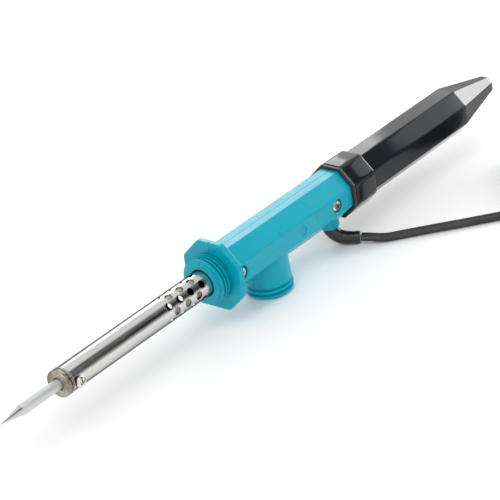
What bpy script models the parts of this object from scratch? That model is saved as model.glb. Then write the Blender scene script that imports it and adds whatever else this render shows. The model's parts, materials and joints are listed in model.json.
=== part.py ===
"""Mains soldering iron with a two-way handle, standing level on the closed end of its side boss.

The iron is modelled about its own axis, the tool axis: X runs from the bit back to the grip, the side
boss points along -Y, and the case screws face +Z. Every piece of it hangs from the empty "tool", which
turns -Y down and puts the side boss on the table. The cord lies on the table in world coordinates.
Lengths are in metres.
"""

import math

import bmesh
import bpy
from mathutils import Matrix, Vector

for leftover in list(bpy.data.objects):
    bpy.data.objects.remove(leftover, do_unlink=True)

MM = 0.001

# Clearance kept between pieces that touch on the real iron.
fit_gap = 0.3 * MM

# How far a shape reaches into the one that it is joined to, or a cutter past what it cuts.
overlap = 1.0 * MM

# Heater tube, in line with the tool axis.
sleeve_radius = 6.35 * MM
sleeve_wall = 0.5 * MM
sleeve_front = -101.6 * MM
sleeve_rear = 13.5 * MM
vent_radius = 1.9 * MM
vent_rows = 10
vent_pitch = 7.5 * MM
vent_last = -14.6 * MM
vents_per_row = 3

# Nose bush, pressed into the front of the tube.
bush_lip_length = 3.6 * MM
bush_lip_radius = 6.5 * MM
bush_length = 6.0 * MM
bush_chamfer = 0.6 * MM

# Soldering bit.
bit_radius = 2.5 * MM
bit_reach = 39.9 * MM
bit_length = 99.5 * MM
bit_cone_length = 12.5 * MM
bit_tip_radius = 0.12 * MM
bit_coating = 0.2 * MM
bit_rear_chamfer = 0.5 * MM

# Set screw that holds the bit, with its lock washer.
set_screw_setback = 2.4 * MM
set_screw_radius = 1.5 * MM
screw_head_radius = 2.7 * MM
screw_head_height = 1.7 * MM
recess_span = 2.9 * MM
recess_width = 0.7 * MM
recess_depth = 0.8 * MM
washer_thickness = 0.5 * MM

# Heating element inside the tube.
heater_setback = 7.6 * MM
heater_length = 56.0 * MM
winding_inset = 3.0 * MM
winding_wire = 0.25 * MM
winding_turns = 14
mica_wall = 0.4 * MM
mica_disc_thickness = 0.8 * MM
lead_offset = 3.9 * MM
lead_radius = 0.35 * MM
bead_radius = 1.25 * MM
crimp_length = 8.0 * MM
crimp_place = 26.0 * MM
crimp_radius = 1.3 * MM
sleeving_wall = 0.5 * MM
sleeving_overhang = 1.0 * MM

# Handle case, moulded in two halves that meet at Z = 0.
case_apothem = 11.4 * MM
case_wall = 2.2 * MM
case_rear = 88.5 * MM
seam_gap = 0.3 * MM
guard_apothem = 16.6 * MM
guard_front = -1.4 * MM
guard_thickness = 3.0 * MM
guard_corner = 3.0 * MM
guard_chamfer = 0.5 * MM
land_rear = 3.5 * MM

# The grip screws onto the rear spigot or the side boss; the front boss has a finer thread.
thread_crest = 11.3 * MM
thread_root = 10.35 * MM
front_thread_pitch = 1.95 * MM
front_thread_turns = 4
grip_thread_pitch = 2.6 * MM
side_thread_turns = 2
spigot_thread_turns = 3
side_boss_place = 34.5 * MM
side_boss_reach = 25.2 * MM
side_neck_radius = 10.5 * MM
side_collar_radius = 11.1 * MM
side_collar_slope = 0.7 * MM
spigot_length = 10.0 * MM
spigot_chamfer = 0.5 * MM

# Case screws and the posts that they pull together.
front_screw_place = 6.6 * MM
rear_screw_setback = 12.2 * MM
case_screw_radius = 1.45 * MM
case_screw_length = 15.0 * MM
counterbore_radius = 3.0 * MM
counterbore_depth = 1.9 * MM
post_radius = 3.9 * MM
neck_post_radius = 2.3 * MM

# Cord exit in the underside, and the rubber relief in it.
exit_setback = 7.2 * MM
exit_collar_radius = 4.9 * MM
exit_collar_reach = 15.6 * MM
exit_collar_chamfer = 0.8 * MM
relief_root_radius = 3.5 * MM
relief_tip_radius = 3.05 * MM
relief_flange_radius = 4.2 * MM
relief_flange_thickness = 1.0 * MM
tail_radius = 2.0 * MM

# Black grip: seal ring, threaded collar and long eight-sided tube.
seal_lap = 1.7 * MM
seal_thickness = 2.2 * MM
seal_rim = 0.5 * MM
seal_corner = 0.6 * MM
collar_overhang = 1.5 * MM
collar_length = 14.9 * MM
collar_corner = 1.2 * MM
collar_front_chamfer = 0.3 * MM
collar_rear_chamfer = 0.8 * MM
grip_apothem = 11.15 * MM
grip_corner = 0.8 * MM
grip_bore = 9.1 * MM
grip_nose_bore = 3.2 * MM
grip_nose_wall = 4.0 * MM
grip_straight_length = 75.5 * MM
grip_taper_length = 29.0 * MM
grip_nose_length = 4.2 * MM
grip_end_apothem = 4.9 * MM
grip_nose_apothem = 2.4 * MM
grip_nose_corner = 1.5 * MM
grip_stub_radius = 10.4 * MM
grip_stub_length = 4.4 * MM

# Flat twin cord; its diameter is the width of the flat.
cord_diameter = 5.6 * MM
core_radius = 1.0 * MM
coil_radius = 31.0 * MM
coil_width = 14.2 * MM
coil_height = 11.9 * MM
coil_edge = 1.2 * MM
coil_beyond = 114.2 * MM
coil_beside = 57.6 * MM
tie_wall = 0.7 * MM
tie_width = 7.0 * MM
tie_turn = math.radians(100)
floor_gap = 0.1 * MM

# Two-blade mains plug.
plug_length = 30.0 * MM
plug_width = 25.0 * MM
plug_height = 13.0 * MM
plug_boot_length = 18.0 * MM
plug_boot_radius = 3.2 * MM
blade_length = 17.5 * MM
blade_width = 6.3 * MM
blade_thickness = 1.5 * MM
blade_spacing = 12.7 * MM
blade_chamfer = 0.4 * MM


# ---------------------------------------------------------------- where the iron stands

bit_point = sleeve_front - bit_reach
bit_rear = bit_point + bit_length
set_screw_place = sleeve_front + set_screw_setback
heater_front = sleeve_front + heater_setback
heater_rear = heater_front + heater_length
rear_screw_place = case_rear - rear_screw_setback
exit_place = case_rear - exit_setback
collar_apothem = case_apothem + collar_overhang
seal_front = case_rear - seal_lap
seal_rear = seal_front + seal_thickness
collar_front = seal_rear + fit_gap
collar_rear = collar_front + collar_length
grip_front = collar_rear + fit_gap
grip_taper_start = grip_front + grip_straight_length
grip_taper_end = grip_taper_start + grip_taper_length
grip_end = grip_taper_end + grip_nose_length
guard_rear = guard_front + guard_thickness
boss_face = guard_front - front_thread_turns * front_thread_pitch
spigot_end = case_rear + spigot_length
hollow_radius = case_apothem - case_wall
# The relief's flange is as deep in the round hollow as its own radius lets it sit.
relief_seat = fit_gap - math.sqrt(hollow_radius**2 - relief_flange_radius**2)

# The world origin is on the table, under the middle of the iron's length.
tool = bpy.data.objects.new("tool", None)
bpy.context.collection.objects.link(tool)
tool_place = Vector((-(bit_point + grip_end) / 2, 0.0, side_boss_reach))
tool.matrix_world = Matrix.Translation(tool_place) @ Matrix.Rotation(math.radians(90), 4, "X")
to_world = tool.matrix_world.copy()


# ---------------------------------------------------------------- materials


def material(name, colour, roughness, metallic=0.0):
    made = bpy.data.materials.new(name)
    made.use_nodes = True
    shader = made.node_tree.nodes["Principled BSDF"]
    shader.inputs["Base Color"].default_value = (*colour, 1.0)
    shader.inputs["Roughness"].default_value = roughness
    shader.inputs["Metallic"].default_value = metallic
    return made


turquoise = material("turquoise_case", (0.02, 0.44, 0.52), 0.4)
black_gloss = material("black_grip", (0.015, 0.017, 0.02), 0.18)
black_rubber = material("black_rubber", (0.02, 0.02, 0.02), 0.6)
black_cord = material("black_cord", (0.02, 0.02, 0.022), 0.35)
stainless = material("stainless_tube", (0.62, 0.62, 0.6), 0.22, 1.0)
bronze_tint = material("nose_bush", (0.5, 0.44, 0.38), 0.3, 1.0)
plated_bit = material("plated_bit", (0.72, 0.73, 0.72), 0.38, 0.6)
zinc = material("zinc_screw", (0.75, 0.72, 0.64), 0.28, 1.0)
blackened = material("black_washer", (0.05, 0.05, 0.05), 0.45, 0.8)
ceramic = material("ceramic", (0.85, 0.82, 0.74), 0.6)
nichrome = material("nichrome", (0.35, 0.32, 0.3), 0.4, 1.0)
mica = material("mica", (0.62, 0.55, 0.42), 0.5)
tinned = material("tinned_copper", (0.7, 0.66, 0.6), 0.35, 1.0)
sleeving = material("glass_sleeving", (0.85, 0.85, 0.8), 0.8)
core_white = material("core_white", (0.8, 0.8, 0.78), 0.5)
nickel = material("nickel_blade", (0.72, 0.7, 0.66), 0.25, 1.0)


# ---------------------------------------------------------------- shapes


def placed(name, mesh, made_of, at=(0.0, 0.0, 0.0), on_tool=True):
    """Object of this mesh, on the tool axis unless it lies on the table."""
    piece = bpy.data.objects.new(name, mesh)
    bpy.context.collection.objects.link(piece)
    piece.data.materials.append(made_of)
    piece.location = at
    if on_tool:
        piece.parent = tool
    return piece


def finished(shape, name):
    """Mesh of a bmesh, its normals facing out and its round faces smooth."""
    bmesh.ops.remove_doubles(shape, verts=shape.verts, dist=1e-7)
    bmesh.ops.recalc_face_normals(shape, faces=shape.faces)
    mesh = bpy.data.meshes.new(name)
    shape.to_mesh(mesh)
    shape.free()
    mesh.shade_smooth()
    mesh.set_sharp_from_angle(angle=math.radians(30))
    return mesh


def lofted(name, rings, closed=False):
    """Skin through rings of equally many points, with end caps unless the last ring meets the first."""
    shape = bmesh.new()
    rows = [[shape.verts.new(point) for point in ring] for ring in rings]
    pairs = list(zip(rows, rows[1:]))
    if closed:
        pairs.append((rows[-1], rows[0]))
    for near, far in pairs:
        for i, corner in enumerate(near):
            j = (i + 1) % len(near)
            shape.faces.new((corner, near[j], far[j], far[i]))
    if not closed:
        shape.faces.new(rows[0])
        shape.faces.new(rows[-1])
    return finished(shape, name)


def circle(along, radius, sides, axis):
    """Ring of points about an axis through the origin."""
    ring = []
    for i in range(sides):
        turn = 2 * math.pi * (i + 0.5) / sides
        a = radius * math.cos(turn)
        b = radius * math.sin(turn)
        ring.append({"X": (along, a, b), "Y": (b, along, a), "Z": (a, b, along)}[axis])
    return ring


def turned(name, profile, sides=24, axis="X", closed=False):
    """Solid of revolution through (along, radius) pairs; a closed profile makes a ring with a bore."""
    return lofted(name, [circle(along, radius, sides, axis) for along, radius in profile], closed)


def tube(name, start, end, bore, outside, sides=24, axis="X"):
    """Straight pipe with square ends."""
    profile = [(start, bore), (start, outside), (end, outside), (end, bore)]
    return turned(name, profile, sides, axis, closed=True)


def octagon(along, apothem, corner=0.0, steps=1):
    """Eight-sided ring across X with flats square to Y and Z; its corners are arcs of radius corner."""
    reach = (apothem - corner) / math.cos(math.pi / 8)
    ring = []
    for side in range(8):
        middle = math.pi / 8 + side * math.pi / 4
        for step in range(steps):
            sweep = (step / (steps - 1) - 0.5) * math.pi / 4 if steps > 1 else 0.0
            y = reach * math.cos(middle) + corner * math.cos(middle + sweep)
            z = reach * math.sin(middle) + corner * math.sin(middle + sweep)
            ring.append((along, y, z))
    return ring


def thread(start, turns, pitch):
    """Outline of a coarse moulded thread, drawn as rings: (along, radius) pairs, a pitch apart."""
    profile = [(start, thread_root)]
    for turn in range(turns):
        foot = start + turn * pitch
        profile.append((foot + 0.2 * pitch, thread_root))
        profile.append((foot + 0.4 * pitch, thread_crest))
        profile.append((foot + 0.75 * pitch, thread_crest))
        profile.append((foot + 0.95 * pitch, thread_root))
    return profile


def helper(mesh, at=(0.0, 0.0, 0.0)):
    """Shape that only joins or cuts another: it is never a piece of the iron."""
    shape = placed("helper", mesh, turquoise, at)
    shape.hide_render = True
    shape.display_type = "WIRE"
    return shape


def combine(piece, how, other):
    change = piece.modifiers.new(how.lower(), "BOOLEAN")
    change.operation = how
    change.solver = "EXACT"
    change.object = other


def curve_tube(name, points, radius, resolution, made_of, on_tool=True):
    """Round wire or cord through points, as a curve with filled ends."""
    curve = bpy.data.curves.new(name, "CURVE")
    curve.dimensions = "3D"
    curve.bevel_depth = radius
    curve.bevel_resolution = resolution
    curve.use_fill_caps = True
    spline = curve.splines.new("POLY")
    spline.points.add(len(points) - 1)
    for point, place in zip(spline.points, points):
        point.co = (*place, 1.0)
    return placed(name, curve, made_of, on_tool=on_tool)


def smooth_path(route, spacing):
    """Points a set distance apart along a Catmull-Rom curve through the route."""
    route = [Vector(point) for point in route]
    ends = [2 * route[0] - route[1], *route, 2 * route[-1] - route[-2]]
    fine = []
    for before, near, far, after in zip(ends, ends[1:], ends[2:], ends[3:]):
        for step in range(24):
            t = step / 24
            fine.append(
                0.5
                * (
                    2 * near
                    + (far - before) * t
                    + (2 * before - 5 * near + 4 * far - after) * t * t
                    + (3 * near - before - 3 * far + after) * t * t * t
                )
            )
    fine.append(route[-1])
    walked = [0.0]
    for near, far in zip(fine, fine[1:]):
        walked.append(walked[-1] + (far - near).length)
    count = max(2, round(walked[-1] / spacing))
    path = []
    place = 0
    for step in range(count + 1):
        target = walked[-1] * step / count
        while place < len(walked) - 2 and walked[place + 1] < target:
            place += 1
        span = walked[place + 1] - walked[place]
        path.append(fine[place].lerp(fine[place + 1], (target - walked[place]) / span))
    return path


def swept(name, path, radii, sides=12):
    """Solid of changing radius along a path, whose rings don't twist about it."""
    rings = []
    across = Vector((1.0, 0.0, 0.0))
    for i, centre in enumerate(path):
        ahead = (path[min(i + 1, len(path) - 1)] - path[max(i - 1, 0)]).normalized()
        across = (across - across.dot(ahead) * ahead).normalized()
        up = across.cross(ahead)
        ring = []
        for k in range(sides):
            turn = 2 * math.pi * k / sides
            ring.append(centre + radii[i] * (math.cos(turn) * across + math.sin(turn) * up))
        rings.append(ring)
    return lofted(name, rings)


# ---------------------------------------------------------------- heater tube, bush and bit


def heater_tube():
    pipe = tube(
        "heater_tube", sleeve_front, sleeve_rear, sleeve_radius - sleeve_wall, sleeve_radius, 40
    )
    piece = placed("heater_tube", pipe, stainless)
    vents = bmesh.new()
    for row in range(vent_rows):
        staggered = row % 2
        turn = Matrix.Rotation(math.radians(360 * row / vent_rows), 4, "X")
        for place in range(vents_per_row + staggered):
            along = vent_last - (place + 0.5 * (1 - staggered)) * vent_pitch
            bmesh.ops.create_cone(
                vents,
                cap_ends=True,
                segments=8,
                radius1=vent_radius,
                radius2=vent_radius,
                depth=2 * sleeve_radius,
                matrix=turn @ Matrix.Translation((along, 0.0, 1.5 * sleeve_radius)),
            )
    mesh = bpy.data.meshes.new("vents")
    vents.to_mesh(mesh)
    vents.free()
    combine(piece, "DIFFERENCE", helper(mesh))
    reach = 1.5 * sleeve_radius
    post_clearance = neck_post_radius + fit_gap
    post_hole = turned("post_hole", [(-reach, post_clearance), (reach, post_clearance)], 16, "Z")
    combine(piece, "DIFFERENCE", helper(post_hole, (front_screw_place, 0.0, 0.0)))
    hole_radius = set_screw_radius + fit_gap
    screw_hole = turned("screw_hole", [(0.0, hole_radius), (reach, hole_radius)], 12, "Z")
    combine(piece, "DIFFERENCE", helper(screw_hole, (set_screw_place, 0.0, 0.0)))


def nose_bush():
    front = sleeve_front - fit_gap - bush_lip_length
    body_radius = sleeve_radius - sleeve_wall - fit_gap
    bore = bit_radius + fit_gap
    profile = [
        (front, bore),
        (front, bush_lip_radius - bush_chamfer),
        (front + bush_chamfer, bush_lip_radius),
        (sleeve_front - fit_gap, bush_lip_radius),
        (sleeve_front - fit_gap, body_radius),
        (sleeve_front + bush_length, body_radius),
        (sleeve_front + bush_length, bore),
    ]
    piece = placed("nose_bush", turned("nose_bush", profile, 40, closed=True), bronze_tint)
    hole_radius = set_screw_radius + fit_gap
    hole = turned("screw_hole", [(0.0, hole_radius), (2 * sleeve_radius, hole_radius)], 12, "Z")
    combine(piece, "DIFFERENCE", helper(hole, (set_screw_place, 0.0, 0.0)))


def soldering_bit():
    shoulder = bit_point + bit_cone_length
    cone_radius = bit_radius - bit_coating
    profile = [(bit_point, bit_tip_radius)]
    for part in (0.25, 0.5, 0.75, 1.0):
        # The cone is slightly hollow.
        profile.append((bit_point + part * bit_cone_length, cone_radius * part**1.15))
    profile.append((shoulder + bit_coating, bit_radius))
    profile.append((bit_rear - bit_rear_chamfer, bit_radius))
    profile.append((bit_rear, bit_radius - bit_rear_chamfer))
    placed("bit", turned("bit", profile, 24), plated_bit)


def set_screw():
    washer_bottom = sleeve_radius + fit_gap
    washer = tube(
        "lock_washer",
        0.0,
        washer_thickness,
        set_screw_radius + fit_gap,
        screw_head_radius,
        20,
        "Z",
    )
    placed("lock_washer", washer, blackened, (set_screw_place, 0.0, washer_bottom))
    head_bottom = washer_bottom + washer_thickness + fit_gap
    profile = [
        (bit_radius + fit_gap, set_screw_radius),
        (head_bottom, set_screw_radius),
        (head_bottom, screw_head_radius),
        (head_bottom + 0.7 * screw_head_height, screw_head_radius),
        (head_bottom + screw_head_height, 0.7 * screw_head_radius),
    ]
    screw = placed(
        "bit_set_screw", turned("bit_set_screw", profile, 20, "Z"), zinc, (set_screw_place, 0.0, 0.0)
    )
    combine(screw, "DIFFERENCE", cross_recess(head_bottom + screw_head_height, set_screw_place))


def cross_recess(top, along):
    """Cross-shaped cutter for a screw head whose top is at this height."""
    shape = bmesh.new()
    for turn in (0.0, math.pi / 2):
        bmesh.ops.create_cube(
            shape,
            size=1.0,
            matrix=Matrix.Translation((0.0, 0.0, top))
            @ Matrix.Rotation(turn, 4, "Z")
            @ Matrix.Diagonal((recess_span, recess_width, 2 * recess_depth, 1.0)),
        )
    mesh = bpy.data.meshes.new("cross_recess")
    shape.to_mesh(mesh)
    shape.free()
    arms = helper(mesh, (along, 0.0, 0.0))
    # The two arms overlap, so they are first made one solid.
    hub_radius = 0.65 * recess_width
    whole = [(top - recess_depth, hub_radius), (top + recess_depth, hub_radius)]
    hub = helper(turned("recess_hub", whole, 8, "Z"), (along, 0.0, 0.0))
    combine(hub, "UNION", arms)
    hub.modifiers[0].use_self = True
    return hub


# ---------------------------------------------------------------- heating element and its wiring


def heating_element():
    bore = bit_radius + fit_gap
    # The tube sets how far out the core, its winding and the mica round them can go.
    wrap_outside = sleeve_radius - sleeve_wall - 1.5 * fit_gap
    core_outside = wrap_outside - mica_wall - 2 * fit_gap - 2 * winding_wire
    placed(
        "heater_core", tube("heater_core", heater_front, heater_rear, bore, core_outside, 20), ceramic
    )
    winding_radius = core_outside + fit_gap + winding_wire
    winding_front = heater_front + winding_inset
    winding_length = heater_rear - heater_front - 2 * winding_inset
    steps = 10
    helix = []
    for step in range(winding_turns * steps + 1):
        turn = 2 * math.pi * step / steps
        along = winding_front + winding_length * step / (winding_turns * steps)
        helix.append((along, winding_radius * math.cos(turn), winding_radius * math.sin(turn)))
    curve_tube("heater_winding", helix, winding_wire, 0, nichrome)
    wrap_bore = winding_radius + winding_wire + fit_gap
    placed(
        "mica_wrap",
        tube("mica_wrap", heater_front, heater_rear, wrap_bore, wrap_bore + mica_wall, 20),
        mica,
    )
    # The disc closes the rear of the tube, and the leads pass through it.
    disc_front = sleeve_rear + fit_gap
    disc_radius = hollow_radius - fit_gap
    disc_profile = [(disc_front, disc_radius), (disc_front + mica_disc_thickness, disc_radius)]
    disc = placed("mica_disc", turned("mica_disc", disc_profile, 32), mica)
    for side in (1.0, -1.0):
        hole_radius = lead_radius + fit_gap
        hole_end = disc_front + mica_disc_thickness + overlap
        hole = [(disc_front - overlap, hole_radius), (hole_end, hole_radius)]
        combine(disc, "DIFFERENCE", helper(turned("lead_hole", hole, 10), (0.0, side * lead_offset, 0.0)))


def wiring():
    """Two leads from the element to crimps, and the cord's two cores from the crimps to its sheath."""
    lead_front = heater_rear + fit_gap
    crimp_rear = crimp_place + crimp_length
    for name, side in (("a", 1.0), ("b", -1.0)):
        y = side * lead_offset
        lead = [(lead_front, y, 0.0), (crimp_place - fit_gap, y, 0.0)]
        curve_tube("heater_lead_" + name, lead, lead_radius, 1, nichrome)
        bead = tube(
            "ceramic_bead_" + name,
            lead_front + fit_gap,
            sleeve_rear - fit_gap,
            lead_radius + fit_gap,
            bead_radius,
            12,
        )
        placed("ceramic_bead_" + name, bead, ceramic, (0.0, y, 0.0))
        crimp = turned(
            "crimp_" + name, [(crimp_place, crimp_radius), (crimp_rear, crimp_radius)], 12
        )
        placed("crimp_" + name, crimp, tinned, (0.0, y, 0.0))
        cover = tube(
            "crimp_sleeve_" + name,
            crimp_place - sleeving_overhang,
            crimp_rear + sleeving_overhang,
            crimp_radius + fit_gap,
            crimp_radius + fit_gap + sleeving_wall,
            14,
        )
        placed("crimp_sleeve_" + name, cover, sleeving, (0.0, y, 0.0))
        core = smooth_path(
            [
                (crimp_rear + fit_gap, y, 0.0),
                (crimp_rear + 5 * MM, y, 0.0),
                (crimp_rear + 0.52 * (sheath_end.x - crimp_rear), 1.5 * MM + 0.75 * y, 0.0),
                (crimp_rear + 0.81 * (sheath_end.x - crimp_rear), 2.6 * MM + 0.45 * y, 0.0),
                (sheath_end.x - fit_gap, sheath_end.y + 0.32 * y, 0.0),
            ],
            3 * MM,
        )
        curve_tube("core_wire_" + name, core, core_radius, 1, core_white)


# ---------------------------------------------------------------- handle case


def whole_case():
    """Both halves of the case in one solid, before it is split at Z = 0."""
    body_rings = [octagon(guard_front + overlap, case_apothem), octagon(case_rear, case_apothem)]
    body = helper(lofted("case_body", body_rings))
    guard = lofted(
        "guard",
        [
            octagon(guard_front, guard_apothem - guard_chamfer, guard_corner, 4),
            octagon(guard_front + guard_chamfer, guard_apothem, guard_corner, 4),
            octagon(guard_rear, guard_apothem, guard_corner, 4),
        ],
    )
    front_boss = thread(boss_face, front_thread_turns, front_thread_pitch)
    front_boss.append((guard_front + overlap, thread_root))
    side_thread_end = -side_boss_reach + side_thread_turns * grip_thread_pitch
    side_boss = thread(-side_boss_reach, side_thread_turns, grip_thread_pitch)
    side_boss.append((side_thread_end + fit_gap, thread_root))
    side_boss.append((side_thread_end + fit_gap + side_collar_slope, side_collar_radius))
    side_boss.append((-case_apothem, side_neck_radius))
    side_boss.append((-2 * overlap, side_neck_radius))
    spigot = [(case_rear - overlap, thread_root)]
    spigot += thread(case_rear, spigot_thread_turns, grip_thread_pitch)
    spigot.append((spigot_end - spigot_chamfer, thread_root))
    spigot.append((spigot_end, thread_root - spigot_chamfer))
    exit_collar = [
        (-exit_collar_reach, exit_collar_radius - exit_collar_chamfer),
        (-exit_collar_reach + exit_collar_chamfer, exit_collar_radius),
        (-case_apothem + 2 * overlap, exit_collar_radius),
    ]
    combine(body, "UNION", helper(guard))
    combine(body, "UNION", helper(turned("front_boss", front_boss, 32)))
    side_boss_at = (side_boss_place, 0.0, 0.0)
    exit_at = (exit_place, 0.0, 0.0)
    combine(body, "UNION", helper(turned("side_boss", side_boss, 32, "Y"), side_boss_at))
    combine(body, "UNION", helper(turned("spigot", spigot, 32)))
    combine(body, "UNION", helper(turned("exit_collar", exit_collar, 20, "Y"), exit_at))
    bore = sleeve_radius + 1.2 * fit_gap
    spigot_bore = thread_root - case_wall
    hollow = [
        (boss_face - overlap, bore),
        (land_rear, bore),
        (land_rear, hollow_radius),
        (case_rear - case_wall, hollow_radius),
        (case_rear - case_wall + overlap, spigot_bore),
        (spigot_end - case_wall, spigot_bore),
    ]
    combine(body, "DIFFERENCE", helper(turned("hollow", hollow, 32)))
    side_bore = side_neck_radius - case_wall
    side_hollow = [(-side_boss_reach + case_wall, side_bore), (0.0, side_bore)]
    combine(body, "DIFFERENCE", helper(turned("side_hollow", side_hollow, 32, "Y"), side_boss_at))
    exit_bore = relief_root_radius + fit_gap
    exit_hole = [(-exit_collar_reach - overlap, exit_bore), (-hollow_radius + 3 * overlap, exit_bore)]
    combine(body, "DIFFERENCE", helper(turned("exit_hole", exit_hole, 16, "Y"), exit_at))
    return body


def half_case(name, whole, side):
    """Half of the case on one side of the seam: side is 1 for +Z and -1 for -Z."""
    block = bmesh.new()
    bmesh.ops.create_cube(block, size=1.0)
    length = spigot_end - boss_face + 10 * overlap
    depth = 2 * side_boss_reach + 10 * overlap
    height = 2 * guard_apothem
    for vert in block.verts:
        vert.co.x = vert.co.x * length + (boss_face + spigot_end) / 2
        vert.co.y = vert.co.y * depth
        vert.co.z = side * (seam_gap / 2 + (vert.co.z + 0.5) * height)
    piece = placed(name, finished(block, name), turquoise)
    combine(piece, "INTERSECT", whole)
    return piece


def screw_posts(right, left):
    """Posts that the case screws pull together, with clearance holes above and pilot holes below."""
    head_seat = case_apothem - counterbore_depth
    post_shoulder = sleeve_radius + 2 * fit_gap
    in_wall = fit_gap + hollow_radius
    for place in (front_screw_place, rear_screw_place):
        upper = [
            (seam_gap / 2, neck_post_radius),
            (post_shoulder, neck_post_radius),
            (post_shoulder, post_radius),
            (case_apothem - case_wall / 3, post_radius),
        ]
        combine(right, "UNION", helper(turned("upper_post", upper, 16, "Z"), (place, 0.0, 0.0)))
        clearance = case_screw_radius + fit_gap
        drilled = [
            (-overlap, clearance),
            (head_seat, clearance),
            (head_seat, counterbore_radius),
            (case_apothem + overlap, counterbore_radius),
        ]
        combine(right, "DIFFERENCE", helper(turned("clearance", drilled, 16, "Z"), (place, 0.0, 0.0)))
        lower = [(-in_wall, neck_post_radius), (-seam_gap / 2, neck_post_radius)]
        combine(left, "UNION", helper(turned("lower_post", lower, 16, "Z"), (place, 0.0, 0.0)))
        pilot = [(head_seat - case_screw_length - overlap, clearance), (overlap, clearance)]
        combine(left, "DIFFERENCE", helper(turned("pilot", pilot, 16, "Z"), (place, 0.0, 0.0)))


def case_screws():
    seat = case_apothem - counterbore_depth + fit_gap
    profile = [
        (seat - case_screw_length, 0.5 * case_screw_radius),
        (seat - case_screw_length + case_screw_radius, case_screw_radius),
        (seat, case_screw_radius),
        (seat, screw_head_radius),
        (seat + 0.7 * screw_head_height, screw_head_radius),
        (seat + screw_head_height, 0.7 * screw_head_radius),
    ]
    for name, place in (("front", front_screw_place), ("rear", rear_screw_place)):
        screw = placed(name + "_case_screw", turned(name, profile, 16, "Z"), zinc, (place, 0.0, 0.0))
        combine(screw, "DIFFERENCE", cross_recess(seat + screw_head_height, place))


# ---------------------------------------------------------------- black grip


def black_grip():
    seal = lofted(
        "grip_seal",
        [
            octagon(seal_front, case_apothem + fit_gap, seal_corner, 3),
            octagon(seal_front, collar_apothem - seal_rim, collar_corner, 3),
            octagon(seal_front + seal_rim, collar_apothem, collar_corner, 3),
            octagon(seal_rear - seal_rim, collar_apothem, collar_corner, 3),
            octagon(seal_rear, collar_apothem - seal_rim, collar_corner, 3),
            octagon(seal_rear, case_apothem + fit_gap, seal_corner, 3),
        ],
        closed=True,
    )
    placed("grip_seal", seal, black_rubber)
    outside = lofted(
        "grip_collar",
        [
            octagon(collar_front, collar_apothem - collar_front_chamfer, collar_corner, 3),
            octagon(collar_front + collar_front_chamfer, collar_apothem, collar_corner, 3),
            octagon(collar_rear - collar_rear_chamfer, collar_apothem, collar_corner, 3),
            octagon(collar_rear, collar_apothem - collar_rear_chamfer, collar_corner, 3),
        ],
    )
    collar = placed("grip_collar", outside, black_gloss)
    thread_end = spigot_end + overlap
    thread_bore = thread_crest + 1.2 * fit_gap
    bore = [
        (collar_front - overlap, thread_bore),
        (thread_end, thread_bore),
        (thread_end, grip_stub_radius + fit_gap),
        (collar_rear + overlap, grip_stub_radius + fit_gap),
    ]
    combine(collar, "DIFFERENCE", helper(turned("collar_bore", bore, 32)))
    nose_start = grip_taper_end + 0.6 * grip_nose_length
    outside = lofted(
        "grip_tube",
        [
            octagon(grip_front, grip_apothem, grip_corner, 3),
            octagon(grip_taper_start, grip_apothem, grip_corner, 3),
            octagon(grip_taper_end, grip_end_apothem, grip_corner, 3),
            octagon(nose_start, 0.85 * grip_end_apothem, grip_nose_corner, 3),
            octagon(grip_end, grip_nose_apothem, grip_nose_corner, 3),
        ],
    )
    piece = placed("grip_tube", outside, black_gloss)
    stub_front = collar_rear - grip_stub_length
    stub = [(stub_front, grip_stub_radius), (grip_front + overlap, grip_stub_radius)]
    combine(piece, "UNION", helper(turned("stub", stub, 32)))
    hollow = [
        (stub_front - overlap, grip_bore),
        (grip_taper_start, grip_bore),
        (grip_taper_end - grip_nose_wall, grip_nose_bore),
    ]
    combine(piece, "DIFFERENCE", helper(turned("grip_hollow", hollow, 32)))


# ---------------------------------------------------------------- cord, relief, coil and plug

# The sheath ends inside the case, after it loops round the rear screw post.
sheath_end = Vector((exit_place - 20.3 * MM, 3.4 * MM, 0.0))

tail_route = [
    (exit_place, relief_seat + relief_flange_thickness + fit_gap, 0.0),
    (exit_place + 0.4 * MM, -2.0 * MM, 0.0),
    (exit_place - 0.7 * MM, 3.4 * MM, 0.0),
    (exit_place - 4.3 * MM, 6.2 * MM, 0.0),
    (exit_place - 9.3 * MM, 6.0 * MM, 0.0),
    (exit_place - 14.8 * MM, 4.2 * MM, 0.0),
    tuple(sheath_end),
]

# The relief leaves the case square to it and bends until it lies on the table.
relief_lies = relief_tip_radius + floor_gap - side_boss_reach
relief_drop = relief_lies + exit_collar_reach
relief_route = [
    (exit_place, relief_seat, 0.0),
    (exit_place, -exit_collar_reach, 0.0),
    (exit_place + 0.5 * MM, -exit_collar_reach + 0.36 * relief_drop, 0.8 * MM),
    (exit_place + 1.6 * MM, -exit_collar_reach + 0.74 * relief_drop, 2.6 * MM),
    (exit_place + 3.2 * MM, -exit_collar_reach + 0.96 * relief_drop, 5.3 * MM),
    (exit_place + 5.1 * MM, relief_lies, 8.8 * MM),
    (exit_place + 7.1 * MM, relief_lies, 12.0 * MM),
]


def relief():
    path = smooth_path(relief_route, 2 * MM)
    neck = exit_collar_reach + relief_seat
    walked = 0.0
    radii = []
    total = sum((far - near).length for near, far in zip(path, path[1:]))
    for i, place in enumerate(path):
        if i:
            walked += (place - path[i - 1]).length
        part = max(0.0, (walked - neck) / (total - neck))
        radii.append(relief_root_radius + part * (relief_tip_radius - relief_root_radius))
    piece = placed("strain_relief", swept("strain_relief", path, radii), black_rubber)
    flange_end = relief_seat + relief_flange_thickness
    profile = [(relief_seat, relief_flange_radius), (flange_end, relief_flange_radius)]
    flange = turned("relief_flange", profile, 16, "Y")
    combine(piece, "UNION", helper(flange, (exit_place, 0.0, 0.0)))
    tail = smooth_path(tail_route, 1.25 * tail_radius)
    curve_tube("cord_tail", tail, tail_radius, 1, black_cord)


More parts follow.
